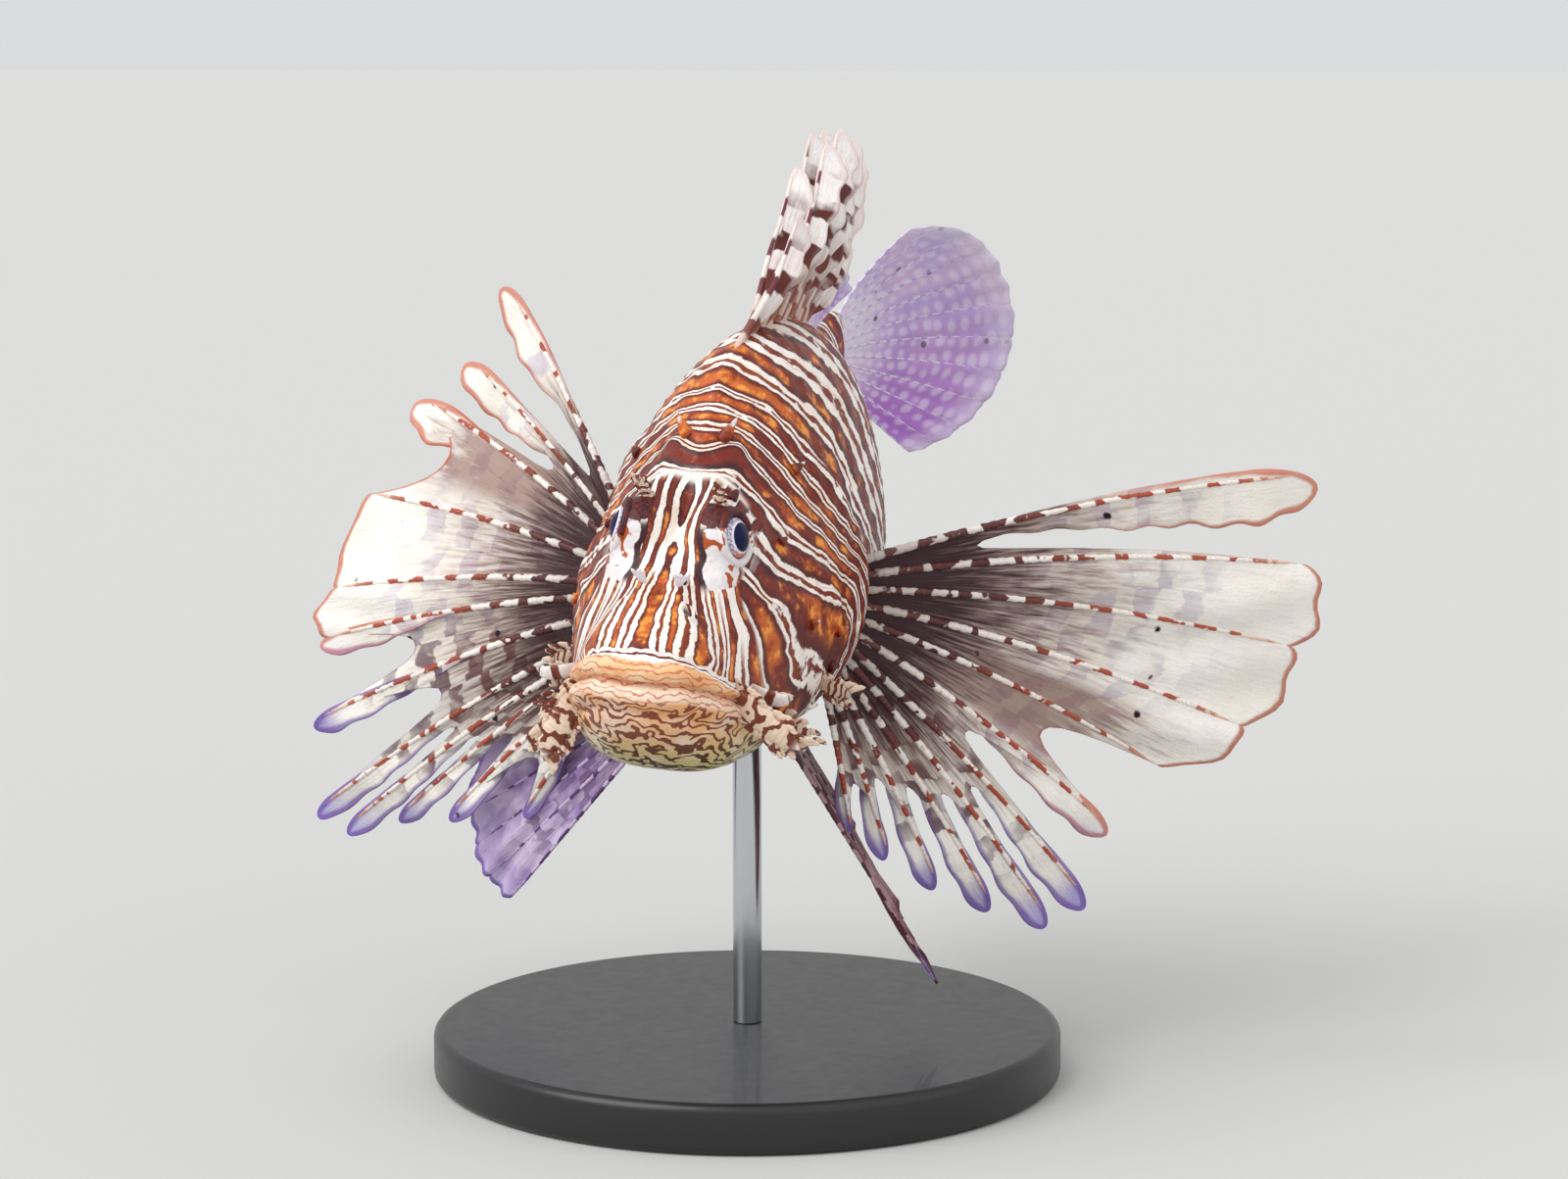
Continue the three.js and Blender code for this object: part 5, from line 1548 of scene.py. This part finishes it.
class LIONFISH_OT_back_spines(bpy.types.Operator):
    """Thirteen spines of the back, each with its flag of membrane."""

    bl_idname = "lionfish.back_spines"
    bl_label = "Back spines"

    def execute(self, context):
        materials = (
            ray_material(
                "back spines", tint("f3e8e0"), tint("6a2430"), tint("c07a5c"), tint("ece2e0"),
                pitch=14.0, share=0.42, wander=0.3,
            ),
            membrane_material(
                "back flags", tint("ece0dc"), tint("f6f0ec"), tint("8c4a3c"), tint("5e2a26"),
                tint("e2cfc8"), tint("e4dde4"), rate=1 / 15, share=0.45, strength=1.6, spots=0.02,
                clear=0.92, deepest=0.02, wander=0.25,
            ),
        )
        name = "dorsal_fin_spiny"
        for piece in rays_and_webs(
            name, lambda i, t: median_ray(name, i, t), MEDIAN_FINS[name], materials, SPINE_LOOK
        ):
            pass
        return {"FINISHED"}


class LIONFISH_OT_rear_fins(bpy.types.Operator):
    """Soft back fin, anal fin and tail fin, lilac with pale spots and a few dark ones."""

    bl_idname = "lionfish.rear_fins"
    bl_label = "Rear fins"

    def execute(self, context):
        colours = context.scene.lionfish_colours
        materials = (
            ray_material(
                "rear fin rays", tint("e6dcf0"), tint("b79ad0"), tint("e8dcea"), tint("e6dcf0"),
                pitch=4.2, share=0.4,
            ),
            spotted_membrane("rear fin membrane", colours),
        )
        for name in ("dorsal_fin_soft", "anal_fin"):
            for piece in rays_and_webs(
                name, lambda i, t, name=name: median_ray(name, i, t), MEDIAN_FINS[name], materials,
                REAR_LOOK,
            ):
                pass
        for piece in rays_and_webs("caudal_fin", caudal_ray, CAUDAL, materials, REAR_LOOK):
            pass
        return {"FINISHED"}


# Points along the tentacles from root to tip, outwards counted positive on either side
MOUTH_TENTACLES = {
    1: ((14, 18, -10.5), (20.5, 15.5, -14.5), (27.5, 14, -19), (33.5, 14, -23)),
    -1: ((15, 19, -14), (19.5, 16, -20), (22.5, 14.5, -26), (25.5, 14, -32)),
}
BROW_TENTACLE = ((7.8, 34.5, 22), (8.5, 34, 25.5), (9.6, 33, 29.5))


def leaf_frame(points, t):
    """Middle of a tentacle at t, the way along it, across its flat side and out of it."""
    points = np.array(points, float)
    knots = np.linspace(0, 1, len(points))

    def path(at):
        return np.stack([through(knots, points[:, k], at) for k in range(3)], 1)

    along = unit(path(np.minimum(t + 0.02, 1)) - path(np.maximum(t - 0.02, 0)))
    flat = unit(np.cross(along, [0.1, 1, 0.2]))
    return path(t), along, flat, np.cross(along, flat)


def leaf(bm, points, width, fringe, columns=24, rows=48, start=0.0, run=20):
    """A flat tapered tentacle along a few points, with a ragged edge."""

    def place(u, w):
        centre, _, flat, thin = leaf_frame(points, w)
        a = u * 2 * math.pi
        half = width / 2 * (0.55 + 0.45 * np.sin(math.pi * w)) * np.sqrt(1 - smooth(w, 0.8, 1) * 0.99)
        ragged = 1 + fringe * np.sin(w * 34 + 2 * np.sign(np.cos(a))) * np.abs(np.cos(a)) ** 3
        half = half * np.where((w < 1e-6) | (w > 1 - 1e-6), 0, 1)
        p = centre + flat * (half * ragged * np.cos(a))[:, None] + thin * (half * 0.36 * np.sin(a))[:, None]
        return p, {"reach": w, "span": start + w * run, "ray": np.zeros_like(w)}

    sheet(bm, columns, rows, place)


def fringed_leaf(bm, points, width, lobes, size=1.0):
    """A tentacle with small lobes all along both its edges and on its face."""
    leaf(bm, points, width, 0.16)
    places = np.linspace(0.08, 0.97, lobes)
    for k, (at, along, flat, thin) in enumerate(zip(*leaf_frame(points, places))):
        edge = (1, -1, 0.35)[k % 3]
        half = width / 2 * (0.55 + 0.45 * math.sin(math.pi * places[k]))
        root = at + flat * half * edge * 0.75
        away = unit(flat * edge + along * 0.7 - thin * (0.9 if k % 3 == 2 else 0.25 * math.sin(k * 2.4)))
        length = (2.6 + 0.9 * math.sin(k * 1.7)) * size
        lobe = [root, root + away * length * 0.6, root + (away + along * 0.4) * length]
        leaf(bm, lobe, 1.7 * size, 0.1, columns=8, rows=8, start=places[k] * 20, run=2)


class LIONFISH_OT_tentacles(bpy.types.Operator):
    """Fringed tentacles at mouth and eyes, skin leaves on head and nose, a lobe at each mouth corner."""

    bl_idname = "lionfish.tentacles"
    bl_label = "Tentacles"

    def execute(self, context):
        material = ray_material(
            "tentacles", tint("ecd2ba"), tint("6e2a14"), tint("9a5a3c"), tint("f2dccf"),
            pitch=4.6, share=0.42, wander=2.6,
        )
        pale = ray_material(
            "pale nose leaves", tint("f2ecf4"), tint("b79ac4"), tint("d8c4dc"), tint("fbf6fb"),
            pitch=3.0, share=0.3,
        )
        lobe = ray_material(
            "jaw lobes", tint("f6eeea"), tint("6e2a18"), tint("c8906c"), tint("fbf5f2"),
            pitch=4.4, share=0.36, wander=0.3,
        )
        for word, side in (("left", 1), ("right", -1)):
            for name, points, width, lobes, size in (
                ("mouth_tentacle", MOUTH_TENTACLES[side], 6.4, 46, 1.0),
                ("brow_tentacle", BROW_TENTACLE, 1.5, 16, 0.6),
            ):
                bm = new_bmesh("reach", "span", "ray")
                fringed_leaf(bm, [np.array(p) * (side, 1, 1) for p in points], width, lobes, size)
                piece = finish_piece(bm, f"{name}_{word}_skin", material, (f"{name}_{word}",))
            bm = new_bmesh("reach", "span", "ray")
            for s, z, length, width, rise in HEAD_LEAVES:
                at, out = skin_at(side, s, z)
                droop = np.array([0, 0, rise * length])
                points = [at + out * length * t + droop * t * t for t in (-0.15, 0.4, 0.75, 1)]
                fringed_leaf(bm, points, width, 9)
            finish_piece(bm, f"head_leaves_{word}", material, ())
            bm = new_bmesh("reach", "span", "ray")
            at, out = skin_at(side, *NOSE_LEAVES[:2])
            for lean in (-0.5, 0.1, 0.7):
                away = out + np.array([lean * side, 0, 0.6])
                points = [at - out, at + away * NOSE_LEAVES[2] * 0.6, at + away * NOSE_LEAVES[2]]
                leaf(bm, points, 1.1, 0.1, columns=10, rows=12, run=2)
            finish_piece(bm, f"nose_leaves_{word}", pale, ())
            bm = new_bmesh("reach", "span", "ray")
            middle = [np.array(p) * (side, 1, 1) for p in JAW_LOBE]
            leaf(bm, middle, 3.6, 0, columns=20, rows=24, start=0.5, run=9)
            finish_piece(bm, f"jaw_lobe_{word}", lobe, ())
        return {"FINISHED"}


class LIONFISH_PT_panel(bpy.types.Panel):
    """The pieces of the model in the sidebar."""

    bl_idname = "LIONFISH_PT_panel"
    bl_label = "Red lionfish"
    bl_space_type = "VIEW_3D"
    bl_region_type = "UI"
    bl_category = "Lionfish"

    def draw(self, context):
        for step in STEPS:
            self.layout.operator(f"lionfish.{step}")
        scene = context.scene
        for group in (scene.lionfish_sizes, scene.lionfish_colours, scene.lionfish_stage):
            for name in group.bl_rna.properties.keys():
                if name not in ("rna_type", "name"):
                    self.layout.prop(group, name)


STEPS = (
    "stage", "stand", "skin", "eyes", "breast_fins", "belly_fins", "back_spines", "rear_fins", "tentacles"
)
CLASSES = (
    LionfishColours,
    LionfishSizes,
    LionfishStage,
    LIONFISH_OT_stage,
    LIONFISH_OT_stand,
    LIONFISH_OT_skin,
    LIONFISH_OT_eyes,
    LIONFISH_OT_breast_fins,
    LIONFISH_OT_belly_fins,
    LIONFISH_OT_back_spines,
    LIONFISH_OT_rear_fins,
    LIONFISH_OT_tentacles,
    LIONFISH_PT_panel,
)


def register():
    for item in CLASSES:
        bpy.utils.register_class(item)
    bpy.types.Scene.lionfish_colours = bpy.props.PointerProperty(type=LionfishColours)
    bpy.types.Scene.lionfish_sizes = bpy.props.PointerProperty(type=LionfishSizes)
    bpy.types.Scene.lionfish_stage = bpy.props.PointerProperty(type=LionfishStage)


def unregister():
    for name in ("lionfish_colours", "lionfish_sizes", "lionfish_stage"):
        delattr(bpy.types.Scene, name)
    for item in reversed(CLASSES):
        bpy.utils.unregister_class(item)


def main():
    register()
    for step in STEPS:
        getattr(bpy.ops.lionfish, step)()
    bpy.context.view_layer.update()


if __name__ == "__main__":
    main()
